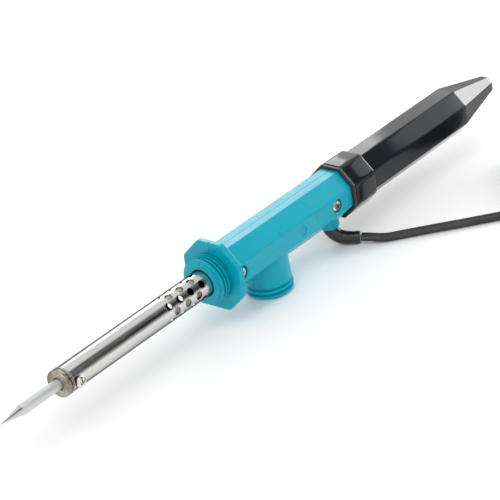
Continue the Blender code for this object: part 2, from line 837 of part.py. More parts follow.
relief_direction = (Vector(relief_route[-1]) - Vector(relief_route[-2])).normalized()
cord_start = to_world @ (Vector(relief_route[-1]) + 1.5 * fit_gap * relief_direction)

coil_centre = Vector((cord_start.x + coil_beyond, cord_start.y - coil_beside, 0.0))

# From the relief's tip along the table, until it runs into the side of the coil, in millimetres.
cord_route = [
    (0.0, 0.0, 0.0),
    (2.4, -3.9, -0.15),
    (6.0, -8.6, -0.25),
    (11.3, -13.4, -0.25),
    (17.6, -19.1, -0.25),
    (24.7, -25.7, -0.25),
    (32.2, -32.9, -0.25),
    (40.2, -40.3, -0.25),
    (48.7, -48.1, -0.15),
    (57.7, -56.2, 0.05),
    (67.2, -64.8, 0.45),
    (76.5, -73.2, 0.75),
]


def cord():
    route = [cord_start + MM * Vector(point) for point in cord_route]
    path = smooth_path(route, 2 * cord_diameter)
    curve_tube("cord", path, cord_diameter / 2, 2, black_cord, False)


def coil_and_tie():
    """Coil of the spare length, standing in a band that holds it together."""
    bottom = floor_gap + tie_wall + fit_gap
    top = bottom + coil_height
    inside = coil_radius - coil_width / 2
    outside = coil_radius + coil_width / 2
    profile = [
        (bottom, inside + coil_edge),
        (bottom, outside - coil_edge),
        (bottom + coil_edge, outside),
        (top - coil_edge, outside),
        (top, outside - coil_edge),
        (top, inside + coil_edge),
        (top - coil_edge, inside),
        (bottom + coil_edge, inside),
    ]
    coil = turned("cord_coil", profile, 48, "Z", closed=True)
    placed("cord_coil", coil, black_cord, coil_centre, on_tool=False)
    loop = []
    for wall in (0.0, tie_wall):
        out = fit_gap + wall
        across = coil_width / 2 + out
        for side in (-1.0, 1.0):
            y = side * tie_width / 2
            loop.append(
                [
                    (coil_radius - across, y, bottom - out),
                    (coil_radius + across, y, bottom - out),
                    (coil_radius + across, y, top + out),
                    (coil_radius - across, y, top + out),
                ]
            )
    inner_near, inner_far, outer_near, outer_far = loop
    band = lofted("cord_tie", [inner_near, outer_near, outer_far, inner_far], closed=True)
    piece = placed("cord_tie", band, black_rubber, coil_centre, on_tool=False)
    piece.rotation_euler.z = tie_turn


def plug():
    """Plug lying beside the coil, its boot against the coil and its blades pointing along +X."""
    outside = coil_radius + coil_width / 2
    place = Vector(
        (coil_centre.x, coil_centre.y - outside + plug_boot_radius, floor_gap + plug_height / 2)
    )
    # The boot starts where the coil's outer edge curves clear of it.
    start = math.sqrt((outside + fit_gap) ** 2 - (outside - 2 * plug_boot_radius) ** 2)
    body_start = start + plug_boot_length
    body_end = body_start + plug_length
    rings = []
    for along, wide, high in (
        (body_start - overlap, 0.3, 0.5),
        (body_start, 0.42, 0.62),
        (body_start + 0.3 * plug_length, 0.72, 0.8),
        (body_start + 0.6 * plug_length, 0.98, 1.0),
        (body_end - overlap, 1.0, 1.0),
        (body_end, 0.94, 0.9),
    ):
        half_wide = wide * plug_width / 2
        half_high = high * plug_height / 2
        corner = 0.45 * half_high
        ring = []
        for quarter in range(4):
            side = (1, -1, -1, 1)[quarter]
            up = (1, 1, -1, -1)[quarter]
            for step in range(4):
                turn = math.pi / 2 * (quarter + step / 3)
                y = side * (half_wide - corner) + corner * math.cos(turn)
                z = up * (half_high - corner) + corner * math.sin(turn)
                ring.append((along, y, z))
        rings.append(ring)
    body = placed("plug_body", lofted("plug_body", rings), black_rubber, place, False)
    boot = [(start, plug_boot_radius), (body_start + 2 * overlap, 1.25 * plug_boot_radius)]
    combine(body, "UNION", helper_on_table(turned("plug_boot", boot, 16), place))
    for name, side in (("a", -1.0), ("b", 1.0)):
        near = body_end + fit_gap
        rings = []
        for along, chamfer in (
            (near, 0.0),
            (near + blade_length - 2 * blade_chamfer, 0.0),
            (near + blade_length, blade_chamfer),
        ):
            half_thick = (blade_thickness - chamfer) / 2
            half_wide = blade_width / 2 - chamfer
            rings.append(
                [
                    (along, -half_thick, -half_wide),
                    (along, half_thick, -half_wide),
                    (along, half_thick, half_wide),
                    (along, -half_thick, half_wide),
                ]
            )
        blade = lofted("plug_blade_" + name, rings)
        beside = place + Vector((0.0, side * blade_spacing / 2, 0.0))
        placed("plug_blade_" + name, blade, nickel, beside, False)


def helper_on_table(mesh, at):
    """Helper shape in table coordinates."""
    shape = helper(mesh, at)
    shape.parent = None
    return shape


def build_all():
    heater_tube()
    nose_bush()
    soldering_bit()
    set_screw()
    heating_element()
    wiring()
    whole = whole_case()
    right = half_case("right_case", whole, 1.0)
    left = half_case("left_case", whole, -1.0)
    screw_posts(right, left)
    case_screws()
    black_grip()
    relief()
    cord()
    coil_and_tie()
    plug()


build_all()
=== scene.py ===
"""Looks of the soldering iron: camera, light, meshes and materials, one section for each piece.

Pieces of the iron are drawn in millimetres about the tool axis, X from the bit to the grip, -Y down the
side boss and +Z out of the case screws, and then put where the frame says. What lies on the table is
drawn in metres, where it lies.
"""

import json
import math

import bmesh
import bpy
from mathutils import Matrix, Vector

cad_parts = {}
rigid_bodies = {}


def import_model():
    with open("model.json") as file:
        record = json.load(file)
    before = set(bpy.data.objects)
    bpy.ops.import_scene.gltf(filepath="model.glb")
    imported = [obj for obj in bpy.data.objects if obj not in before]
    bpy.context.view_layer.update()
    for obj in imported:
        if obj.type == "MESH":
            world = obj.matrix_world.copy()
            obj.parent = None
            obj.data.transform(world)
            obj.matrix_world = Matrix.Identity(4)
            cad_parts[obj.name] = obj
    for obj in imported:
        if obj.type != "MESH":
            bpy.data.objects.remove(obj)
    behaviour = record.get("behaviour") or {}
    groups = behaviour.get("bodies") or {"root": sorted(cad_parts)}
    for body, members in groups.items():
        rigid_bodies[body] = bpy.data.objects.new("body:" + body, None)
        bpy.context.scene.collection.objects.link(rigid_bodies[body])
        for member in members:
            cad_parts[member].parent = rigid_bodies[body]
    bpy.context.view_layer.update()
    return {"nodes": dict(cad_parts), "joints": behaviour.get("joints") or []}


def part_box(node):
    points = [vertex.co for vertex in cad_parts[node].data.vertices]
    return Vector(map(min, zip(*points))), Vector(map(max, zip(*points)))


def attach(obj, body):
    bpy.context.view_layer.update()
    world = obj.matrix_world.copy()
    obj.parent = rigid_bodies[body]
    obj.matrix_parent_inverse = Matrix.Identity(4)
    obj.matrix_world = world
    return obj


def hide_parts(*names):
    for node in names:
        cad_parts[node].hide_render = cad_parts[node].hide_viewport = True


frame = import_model()
joints = {joint["name"]: joint for joint in frame["joints"]}
nodes = frame["nodes"]

# ---------------------------------------------------------------- tool axis
# The grip draws off along the iron and the set screw lifts out of it, so these two joints give the
# iron's own axes. The grip turns about the tool axis, 96 mm behind its zero at the hand guard.

along = Vector(joints["grip_draw"]["axis"])
out_of_screws = Vector(joints["set_screw_lift"]["axis"])
up_the_case = out_of_screws.cross(along)
zero = Vector(joints["grip_turn"]["pos_m"]) - 0.096 * along
tool = Matrix.Translation(zero) @ Matrix((along, up_the_case, out_of_screws)).transposed().to_4x4()
tool_mm = tool @ Matrix.Scale(0.001, 4)
as_drawn = Matrix.Identity(4)

# ---------------------------------------------------------------- camera
# A long lens looks down on the iron from the left of its bit, so the tube comes towards it.

camera_data = bpy.data.cameras.new("camera")
camera_data.lens = 209.74
camera_data.sensor_width = 36.0
camera_data.clip_end = 20.0
camera = bpy.data.objects.new("camera", camera_data)
bpy.context.scene.collection.objects.link(camera)
bpy.context.scene.camera = camera
looked_at = Vector((-0.0109, -0.0002, 0.0252))
view_distance = 1.3235
view_azimuth = math.radians(-136.67)
view_elevation = math.radians(27.56)
view_roll = math.radians(-8.93)
towards_camera = Vector(
    (
        math.cos(view_elevation) * math.cos(view_azimuth),
        math.cos(view_elevation) * math.sin(view_azimuth),
        math.sin(view_elevation),
    )
)
camera.matrix_world = (
    Matrix.Translation(looked_at + view_distance * towards_camera)
    @ towards_camera.to_track_quat("Z", "Y").to_matrix().to_4x4()
    @ Matrix.Rotation(view_roll, 4, "Z")
)
bpy.context.scene.view_settings.view_transform = "Standard"

# ---------------------------------------------------------------- plug
# Moulded black two-blade plug on the far end of the cord: the body lies on the table beside the coil,
# and its soft boot takes the cord's last turn. Its ribs are made by nodes, its blades are nickel plate.

cord_exit = Vector((0.0528, -0.0124, 0.00315))
coil_centre = Vector((cord_exit.x + 0.1142, cord_exit.y - 0.0576, 0.0))
plug_low, plug_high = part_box("plug_body")
plug_axis = Vector((0.0, (plug_low.y + plug_high.y) / 2, (plug_low.z + plug_high.z) / 2))


def smoothed(mesh, sharp=32.0):
    """The mesh, smooth but for edges that turn by more than this many degrees."""
    mesh.shade_smooth()
    mesh.set_sharp_from_angle(angle=math.radians(sharp))
    return mesh


def skin(name, rings, place, loops_back=False, sharp=32.0):
    """Closed mesh through rings of equally many points, capped, or with its last ring joined to its first."""
    shape = bmesh.new()
    rows = [[shape.verts.new(point) for point in ring] for ring in rings]
    spans = list(zip(rows, rows[1:]))
    if loops_back:
        spans.append((rows[-1], rows[0]))
    for near, far in spans:
        for i, corner in enumerate(near):
            j = (i + 1) % len(near)
            shape.faces.new((corner, near[j], far[j], far[i]))
    if not loops_back:
        shape.faces.new(rows[0])
        shape.faces.new(rows[-1])
    bmesh.ops.remove_doubles(shape, verts=shape.verts, dist=1e-6)
    bmesh.ops.recalc_face_normals(shape, faces=shape.faces)
    mesh = bpy.data.meshes.new(name)
    shape.to_mesh(mesh)
    shape.free()
    mesh.transform(place)
    return smoothed(mesh, sharp)


def shown(name, mesh, finish, body, slot, *stands_for):
    """Finished piece that rides on a body and stands for CAD nodes."""
    piece = bpy.data.objects.new(name, mesh)
    bpy.context.scene.collection.objects.link(piece)
    mesh.materials.clear()
    mesh.materials.append(finish)
    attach(piece, body)
    if stands_for:
        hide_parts(*stands_for)
    return piece


def finish_of(name, colour, roughness, metallic=0.0):
    """Principled material; the functions below give it its pattern."""
    made = bpy.data.materials.new(name)
    made.use_nodes = True
    shader = made.node_tree.nodes["Principled BSDF"]
    shader.inputs["Base Color"].default_value = (*colour, 1.0)
    shader.inputs["Roughness"].default_value = roughness
    shader.inputs["Metallic"].default_value = metallic
    return made


def grain(made, scale, stretch=(1.0, 1.0, 1.0), detail=3.0):
    """Noise fixed to the piece, finer along the axes that stretch is larger on."""
    tree = made.node_tree
    where = tree.nodes.new("ShaderNodeTexCoord")
    mapping = tree.nodes.new("ShaderNodeMapping")
    mapping.inputs["Scale"].default_value = stretch
    noise = tree.nodes.new("ShaderNodeTexNoise")
    noise.inputs["Scale"].default_value = scale
    noise.inputs["Detail"].default_value = detail
    tree.links.new(where.outputs["Object"], mapping.inputs["Vector"])
    tree.links.new(mapping.outputs["Vector"], noise.inputs["Vector"])
    return noise.outputs["Fac"]


def ranged(made, pattern, low, high, start=0.35, end=0.65):
    """Pattern rescaled, smoothly, to run from low to high."""
    spread = made.node_tree.nodes.new("ShaderNodeMapRange")
    spread.interpolation_type = "SMOOTHSTEP"
    for socket, value in (("From Min", start), ("From Max", end), ("To Min", low), ("To Max", high)):
        spread.inputs[socket].default_value = value
    made.node_tree.links.new(pattern, spread.inputs["Value"])
    return spread.outputs["Result"]


def roughened(made, pattern, low, high):
    shader = made.node_tree.nodes["Principled BSDF"]
    made.node_tree.links.new(ranged(made, pattern, low, high), shader.inputs["Roughness"])


def coloured(made, pattern, first, second, start=0.35, end=0.65):
    """Base colour that a pattern turns from the first colour to the second."""
    tree = made.node_tree
    mix = tree.nodes.new("ShaderNodeMix")
    mix.data_type = "RGBA"
    mix.inputs["A"].default_value = (*first, 1.0)
    mix.inputs["B"].default_value = (*second, 1.0)
    tree.links.new(ranged(made, pattern, 0.0, 1.0, start, end), mix.inputs["Factor"])
    tree.links.new(mix.outputs["Result"], tree.nodes["Principled BSDF"].inputs["Base Color"])


def bumped(made, pattern, depth, strength=1.0):
    """Relief of this depth in metres."""
    tree = made.node_tree
    bump = tree.nodes.new("ShaderNodeBump")
    bump.inputs["Strength"].default_value = strength
    bump.inputs["Distance"].default_value = depth
    tree.links.new(pattern, bump.inputs["Height"])
    tree.links.new(bump.outputs["Normal"], tree.nodes["Principled BSDF"].inputs["Normal"])


black_rubber = finish_of("black_rubber", (0.014, 0.014, 0.015), 0.5)
coloured(black_rubber, grain(black_rubber, 60.0), (0.010, 0.010, 0.011), (0.022, 0.022, 0.023))
roughened(black_rubber, grain(black_rubber, 220.0), 0.4, 0.6)
bumped(black_rubber, grain(black_rubber, 1800.0, detail=2.0), 0.00004, 0.6)


def plug_ring(x, wide, high, power):
    """Rounded rectangle across the plug; power 2 is an ellipse and more is squarer."""
    ring = []
    for k in range(48):
        turn = 2 * math.pi * k / 48
        y = math.copysign(abs(math.cos(turn)) ** (2 / power), math.cos(turn))
        z = math.copysign(abs(math.sin(turn)) ** (2 / power), math.sin(turn))
        ring.append((x, plug_axis.y + wide * y, plug_axis.z + high * z))
    return ring


boot_front = plug_low.x
body_front = boot_front + 0.018
plug_length = plug_high.x - body_front
half_wide = (plug_high.y - plug_low.y) / 2
half_high = (plug_high.z - plug_low.z) / 2
boot_radius = 0.0032
plug_rings = [
    plug_ring(boot_front + 0.003, 0.0021, 0.0029, 2.0),
    plug_ring(boot_front, 0.0021, 0.0029, 2.0),
    plug_ring(boot_front, boot_radius - 0.0002, boot_radius - 0.0002, 2.0),
]
# The boot is cut by three grooves, so that it bends.
for groove in range(4):
    start = boot_front + 0.0003 + 0.0042 * groove
    swell = boot_radius + 0.00016 * groove
    plug_rings.append(plug_ring(start, swell, swell, 2.0))
    plug_rings.append(plug_ring(start + 0.0026, swell, swell, 2.0))
    if groove < 3:
        plug_rings.append(plug_ring(start + 0.0030, swell - 0.0006, swell - 0.0006, 2.0))
        plug_rings.append(plug_ring(start + 0.0038, swell - 0.0006, swell - 0.0006, 2.0))
for share, wide, high, power in (
    (0.0, 0.40, 0.60, 2.2),
    (0.06, 0.48, 0.66, 2.4),
    (0.16, 0.62, 0.74, 2.8),
    (0.3, 0.78, 0.86, 3.4),
    (0.45, 0.92, 0.95, 4.0),
    (0.6, 0.99, 1.0, 4.6),
    (0.75, 1.0, 1.0, 5.0),
    (0.955, 1.0, 1.0, 5.0),
    (0.985, 0.985, 0.97, 5.0),
    (1.0, 0.95, 0.91, 5.0),
):
    plug_rings.append(plug_ring(body_front + share * plug_length, wide * half_wide, high * half_high, power))
plug = shown(
    "plug", skin("plug", plug_rings, as_drawn), black_rubber, "handle", "black_rubber", "plug_body"
)


def named_inputs(tree, sizes):
    """Gives a node tree its inputs and output, and returns the node that the inputs come from."""
    for name, kind in sizes:
        tree.interface.new_socket(name, in_out="INPUT", socket_type="NodeSocket" + kind)
    tree.interface.new_socket("Geometry", in_out="OUTPUT", socket_type="NodeSocketGeometry")
    return tree.nodes.new("NodeGroupInput")


def step_of(tree, kind, links, **settings):
    """Node of a tree, its settings and its inputs: a socket of another node, or a value."""
    step = tree.nodes.new(kind)
    for name, value in settings.items():
        setattr(step, name, value)
    for socket, source in links.items():
        if isinstance(source, bpy.types.NodeSocket):
            tree.links.new(source, step.inputs[socket])
        else:
            step.inputs[socket].default_value = source
    return step


def ended(tree, geometry, material_socket):
    """Ends a tree in real geometry that has its material."""
    real = step_of(tree, "GeometryNodeRealizeInstances", {"Geometry": geometry})
    painted = step_of(
        tree, "GeometryNodeSetMaterial", {"Geometry": real.outputs[0], "Material": material_socket}
    )
    tree.links.new(painted.outputs[0], tree.nodes.new("NodeGroupOutput").inputs[0])


def grown(name, base, tree, place, sharp=32.0, **values):
    """Plain mesh of what a node tree makes from a base mesh."""
    seed = bpy.data.objects.new(name, base)
    bpy.context.scene.collection.objects.link(seed)
    nodes_step = seed.modifiers.new(name, "NODES")
    nodes_step.node_group = tree
    for item in tree.interface.items_tree:
        if item.item_type == "SOCKET" and item.in_out == "INPUT" and item.name in values:
            nodes_step[item.identifier] = values[item.name]
    bpy.context.view_layer.update()
    graph = bpy.context.evaluated_depsgraph_get()
    mesh = bpy.data.meshes.new_from_object(seed.evaluated_get(graph))
    seed.modifiers.clear()
    bpy.data.objects.remove(seed)
    mesh.name = name
    mesh.transform(place)
    return smoothed(mesh, sharp)


# A rib is a short bar with round ends, copied down both flat sides of the plug.
rib_tree = bpy.data.node_groups.new("grip_ribs", "GeometryNodeTree")
sizes = named_inputs(
    rib_tree,
    (("Rib", "Geometry"), ("Count", "Int"), ("Spacing", "Float"), ("Rubber", "Material")),
)
rib_offset = step_of(rib_tree, "ShaderNodeCombineXYZ", {"X": sizes.outputs["Spacing"]})
rib_places = step_of(
    rib_tree,
    "GeometryNodeMeshLine",
    {"Count": sizes.outputs["Count"], "Offset": rib_offset.outputs[0]},
)
ribs = step_of(
    rib_tree,
    "GeometryNodeInstanceOnPoints",
    {"Points": rib_places.outputs[0], "Instance": sizes.outputs["Rib"]},
)
ended(rib_tree, ribs.outputs[0], sizes.outputs["Rubber"])

rib_radius = 0.0007
rib_half_length = 0.0032
rib_meshes = []
for side in (1.0, -1.0):
    y = plug_axis.y + side * (half_wide - 0.0004)
    rings = []
    for step in range(9):
        turn = math.pi * (step / 8 - 0.5)
        across = rib_radius * math.cos(turn) + 0.00002
        z = plug_axis.z + rib_half_length * math.sin(turn)
        rings.append(
            [
                (body_front + 0.62 * plug_length + across * math.cos(a), y + across * math.sin(a), z)
                for a in (math.pi * k / 4 for k in range(8))
            ]
        )
    rib = grown(
        "ribs",
        skin("rib", rings, as_drawn),
        rib_tree,
        as_drawn,
        Count=5,
        Spacing=0.0021,
        Rubber=black_rubber,
    )
    rib_meshes.append(rib)
plug_ribs = [
    shown("plug_ribs_" + side, mesh, black_rubber, "handle", "black_rubber")
    for side, mesh in zip("ab", rib_meshes)
]

nickel = finish_of("nickel_blade", (0.72, 0.69, 0.63), 0.22, 1.0)
coloured(nickel, grain(nickel, 90.0), (0.66, 0.63, 0.57), (0.76, 0.74, 0.69))
roughened(nickel, grain(nickel, 300.0, (0.15, 1.0, 1.0)), 0.16, 0.32)


def cut(mesh, how, *others):
    """The mesh after an exact Boolean with others, all drawn in the same place."""
    scene_objects = bpy.context.scene.collection.objects
    base = bpy.data.objects.new("base", mesh)
    scene_objects.link(base)
    helpers = []
    for other in others:
        helper = bpy.data.objects.new("helper", other)
        scene_objects.link(helper)
        helpers.append(helper)
        step = base.modifiers.new(how, "BOOLEAN")
        step.operation = how
        step.solver = "EXACT"
        step.object = helper
    bpy.context.view_layer.update()
    graph = bpy.context.evaluated_depsgraph_get()
    result = bpy.data.meshes.new_from_object(base.evaluated_get(graph))
    for leftover in (base, *helpers):
        bpy.data.objects.remove(leftover)
    result.name = mesh.name
    return result


def turned(name, profile, axis="X", centre=(0.0, 0.0, 0.0), sides=64, place=as_drawn, loops_back=False):
    """Solid of revolution about an axis through centre, through (place along it, radius) pairs."""
    rings = []
    for reach, radius in profile:
        ring = []
        for k in range(sides):
            turn = 2 * math.pi * (k + 0.5) / sides
            a = radius * math.cos(turn)
            b = radius * math.sin(turn)
            point = {"X": (reach, a, b), "Y": (b, reach, a), "Z": (a, b, reach)}[axis]
            ring.append(Vector(centre) + Vector(point))
        rings.append(ring)
    return skin(name, rings, place, loops_back)


for name in ("a", "b"):
    low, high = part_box("plug_blade_" + name)
    rings = []
    for x, inset in ((low.x, 0.0), (high.x - 0.0022, 0.0), (high.x - 0.0008, 0.0007), (high.x, 0.0019)):
        edge = 0.00015
        thick = (high.y - low.y) / 2 - 0.25 * inset
        wide = (high.z - low.z) / 2 - inset
        y = (low.y + high.y) / 2
        z = (low.z + high.z) / 2
        ring = []
        for side, up in ((1, 1), (-1, 1), (-1, -1), (1, -1)):
            for k in (0, 1):
                corner = (edge, 0.0) if (k == 0) == (side * up > 0) else (0.0, edge)
                ring.append((x, y + side * (thick - corner[0]), z + up * (wide - corner[1])))
        rings.append(ring)
    blank = skin("blade", rings, as_drawn)
    centre = (high.x - 0.0045, (low.y + high.y) / 2, (low.z + high.z) / 2)
    hole = turned("hole", [(-0.002, 0.0016), (0.002, 0.0016)], "Y", centre, 24)
    blade = smoothed(cut(blank, "DIFFERENCE", hole))
    shown("blade_" + name, blade, nickel, "handle", "nickel_blade", "plug_blade_" + name)

# ---------------------------------------------------------------- cord
# Flat twin flex: two stranded cores side by side in one soft glossy sheath, 5.6 mm wide and 2.9 thick.
# It lies flat along the table, turns on edge, and is wound away in two rows that end at the plug.

sheath_width = 0.0056
sheath_thickness = 0.0029

# The same route as the solid that the cord lies in, from the relief's tip.
cord_route = [
    (0.0, 0.0, 0.0),
    (0.0024, -0.0039, -0.00015),
    (0.0060, -0.0086, -0.00025),
    (0.0113, -0.0134, -0.00025),
    (0.0176, -0.0191, -0.00025),
    (0.0247, -0.0257, -0.00025),
    (0.0322, -0.0329, -0.00025),
    (0.0402, -0.0403, -0.00025),
    (0.0487, -0.0481, -0.00015),
    (0.0577, -0.0562, 0.00005),
    (0.0672, -0.0648, 0.00045),
    (0.0765, -0.0732, 0.00075),
]


def smooth_path(route, spacing):
    """Points a set distance apart along a Catmull-Rom curve through the route."""
    route = [Vector(point) for point in route]
    ends = [2 * route[0] - route[1], *route, 2 * route[-1] - route[-2]]
    fine = []
    for before, near, far, after in zip(ends, ends[1:], ends[2:], ends[3:]):
        for step in range(24):
            t = step / 24
            bend = 2 * before - 5 * near + 4 * far - after
            swing = 3 * near - before - 3 * far + after
            fine.append(0.5 * (2 * near + (far - before) * t + bend * t * t + swing * t * t * t))
    fine.append(route[-1])
    walked = [0.0]
    for near, far in zip(fine, fine[1:]):
        walked.append(walked[-1] + (far - near).length)
    count = max(2, round(walked[-1] / spacing))
    path = []
    place = 0
    for step in range(count + 1):
        target = walked[-1] * step / count
        while place < len(walked) - 2 and walked[place + 1] < target:
            place += 1
        span = walked[place + 1] - walked[place]
        path.append(fine[place].lerp(fine[place + 1], (target - walked[place]) / span))
    return path


def eased(value, start, end):
    """0 before start, 1 after end, and a smooth rise between them."""
    part = min(1.0, max(0.0, (value - start) / (end - start)))
    return part * part * (3 - 2 * part)


coil_entry = math.radians(229.2)
outer_turn = 0.0365
turn_pitch = 0.00305
low_row = 0.0040
high_row = 0.00995
coil_turns = 7.115
climb_start = 3.4
climb_end = 3.75

entry_point = coil_centre + outer_turn * Vector((math.cos(coil_entry), math.sin(coil_entry), 0.0))
loose = smooth_path([cord_exit + Vector(point) for point in cord_route] + [entry_point], 0.003)
cord_path = []
edge_turn = []
for i, point in enumerate(loose):
    on_edge = eased(point.x, cord_exit.x + 0.054, entry_point.x)
    half = math.radians(90) * on_edge
    lies = math.hypot(
        sheath_thickness / 2 * math.cos(half), sheath_width / 2 * math.sin(half)
    )
    settled = eased(i, 0, 5)
    height = (1 - settled) * cord_exit.z + settled * (0.0001 + lies + 0.0011 * on_edge)
    cord_path.append(Vector((point.x, point.y, height)))
    edge_turn.append(half)
steps_per_turn = 48
for step in range(1, round(coil_turns * steps_per_turn) + 1):
    turns = step / steps_per_turn
    angle = coil_entry + 2 * math.pi * turns
    if turns < climb_start:
        radius = outer_turn - turn_pitch * turns
    elif turns < climb_end:
        radius = outer_turn - turn_pitch * climb_start
    else:
        radius = outer_turn - turn_pitch * (climb_start + climb_end - turns)
    radius = min(radius, outer_turn - 0.0002)
    height = low_row + (high_row - low_row) * eased(turns, climb_start, climb_end)
    cord_path.append(coil_centre + Vector((radius * math.cos(angle), radius * math.sin(angle), height)))
    edge_turn.append(math.radians(90))
last = cord_path[-1]
boot_mouth = Vector((boot_front + 0.0028, plug_axis.y, plug_axis.z))
for step in range(1, 9):
    part = step / 8
    easy = eased(part, 0.0, 1.0)
    cord_path.append(
        Vector(
            (
                last.x + part * (boot_mouth.x - last.x),
                last.y + easy * (boot_mouth.y - last.y),
                last.z + easy * (boot_mouth.z - last.z),
            )
        )
    )
    edge_turn.append(math.radians(90))


def flat_twin():
    """Outline of the sheath: two round lobes and the groove between them on each side."""
    lobe = sheath_thickness / 2
    middle = sheath_width / 2 - lobe
    groove = 0.58 * lobe
    outline = []
    for side in (1, -1):
        for k in range(11):
            turn = math.radians(26 * (k - 5))
            outline.append(
                (side * (middle + lobe * math.cos(turn)), side * lobe * math.sin(turn))
            )
        outline.append((0.0, side * groove))
    return outline


def swept(path, across, outlines):
    """Rings along a path: each outline's (u, v) points, with u along that place's across direction."""
    rings = []
    for i, centre in enumerate(path):
        ahead = (path[min(i + 1, len(path) - 1)] - path[max(i - 1, 0)]).normalized()
        side = (across[i] - across[i].dot(ahead) * ahead).normalized()
        up = ahead.cross(side)
        rings.append([centre + u * side + v * up for u, v in outlines[i]])
    return rings


widths = []
for i, turn in enumerate(edge_turn):
    ahead = (cord_path[min(i + 1, len(cord_path) - 1)] - cord_path[max(i - 1, 0)]).normalized()
    level = ahead.cross(Vector((0.0, 0.0, 1.0))).normalized()
    widths.append(math.cos(turn) * level + math.sin(turn) * Vector((0.0, 0.0, 1.0)))

black_sheath = finish_of("black_sheath", (0.016, 0.016, 0.018), 0.3)
coloured(black_sheath, grain(black_sheath, 40.0), (0.012, 0.012, 0.014), (0.026, 0.026, 0.028))
roughened(black_sheath, grain(black_sheath, 130.0), 0.16, 0.28)
bumped(black_sheath, grain(black_sheath, 500.0, detail=1.0), 0.00002, 0.25)

cord_mesh = skin("cord", swept(cord_path, widths, [flat_twin()] * len(cord_path)), as_drawn, sharp=60.0)
flex = shown("flex", cord_mesh, black_sheath, "handle", "cord_pvc", "cord", "cord_coil")

# A flat rubber loop holds the coil together.
tie_angle = math.radians(100)
tie_half_width = 0.0035
tie_wall = 0.0007
tie_low, tie_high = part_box("cord_tie")
tie_rings = []
half_across = 0.0071 + 0.0003
middle_height = (tie_low.z + tie_high.z) / 2
half_up = (tie_high.z - tie_low.z) / 2 - tie_wall
for k in range(64):
    turn = 2 * math.pi * k / 64
    a = math.copysign(abs(math.cos(turn)) ** 0.4, math.cos(turn))
    b = math.copysign(abs(math.sin(turn)) ** 0.4, math.sin(turn))
    ring = []
    for wall, side in ((0.0, -1), (tie_wall, -1), (tie_wall, 1), (0.0, 1)):
        reach = 0.031 + (half_across + wall) * a
        height = middle_height + (half_up + wall) * b
        beside = side * tie_half_width
        ring.append(
            coil_centre
            + Vector(
                (
                    reach * math.cos(tie_angle) - beside * math.sin(tie_angle),
                    reach * math.sin(tie_angle) + beside * math.cos(tie_angle),
                    height,
                )
            )
        )
    tie_rings.append(ring)
tie = shown(
    "coil_tie",
    skin("coil_tie", tie_rings, as_drawn, loops_back=True),
    black_rubber,
    "handle",
    "black_rubber",
    "cord_tie",
)

# ---------------------------------------------------------------- strain relief
# Soft black rubber sleeve moulded round the cord. Its flange is trapped in the case, and it tapers and
# bends under the cord's pull until it lies on the table.

case_rear = 88.5
exit_place = 81.3
exit_collar_reach = 15.6
relief_seat = -7.885
relief_lies = -22.05
relief_drop = relief_lies + exit_collar_reach
relief_route = [
    (exit_place, relief_seat, 0.0),
    (exit_place, -exit_collar_reach, 0.0),
    (exit_place + 0.5, -exit_collar_reach + 0.36 * relief_drop, 0.8),
    (exit_place + 1.6, -exit_collar_reach + 0.74 * relief_drop, 2.6),
    (exit_place + 3.2, -exit_collar_reach + 0.96 * relief_drop, 5.3),
    (exit_place + 5.1, relief_lies, 8.8),
    (exit_place + 7.1, relief_lies, 12.0),
]
relief_path = smooth_path(relief_route, 0.22)
relief_length = 0.22 * (len(relief_path) - 1)
relief_sizes = []
for i in range(len(relief_path)):
    walked = 0.22 * i
    radius = 3.5 - 0.45 * eased(walked, 7.7, relief_length)
    if walked < 1.0:
        radius = 4.2
    if 20.0 < walked < relief_length - 1.2:
        # A shallow groove with soft shoulders, near the end.
        radius -= 0.1 * eased(abs((walked / 2.4) % 1.0 - 0.5), 0.28, 0.42)
    if walked > relief_length - 0.6:
        radius -= 0.25 * eased(walked, relief_length - 0.6, relief_length)
    relief_sizes.append(radius)
round_outlines = [
    [(r * math.cos(2 * math.pi * k / 40), r * math.sin(2 * math.pi * k / 40)) for k in range(40)]
    for r in relief_sizes
]
relief_across = [Vector((0.35, 0.0, -1.0))] * len(relief_path)
soft_gloss = finish_of("soft_gloss", (0.012, 0.012, 0.013), 0.24)
coloured(soft_gloss, grain(soft_gloss, 70.0), (0.009, 0.009, 0.010), (0.018, 0.018, 0.019))
roughened(soft_gloss, grain(soft_gloss, 160.0), 0.2, 0.3)
relief_mesh = skin("relief", swept(relief_path, relief_across, round_outlines), tool_mm)
relief = shown("relief", relief_mesh, soft_gloss, "handle", "black_rubber", "strain_relief")

# ---------------------------------------------------------------- heater tube
# Thin drawn stainless tube, 12.7 mm across, that carries the bit and keeps the case cool. Ten rows of
# punched vents, every other row half a pitch on, let the heat out in front of the handle.

sleeve_radius = 6.35
sleeve_bore = 5.85
sleeve_front = -101.6
sleeve_rear = 13.5
set_screw_place = -99.2
front_screw_place = 6.6
vent_radius = 1.9
vent_pitch = 7.5
last_vent = -14.6
vent_rows = 10

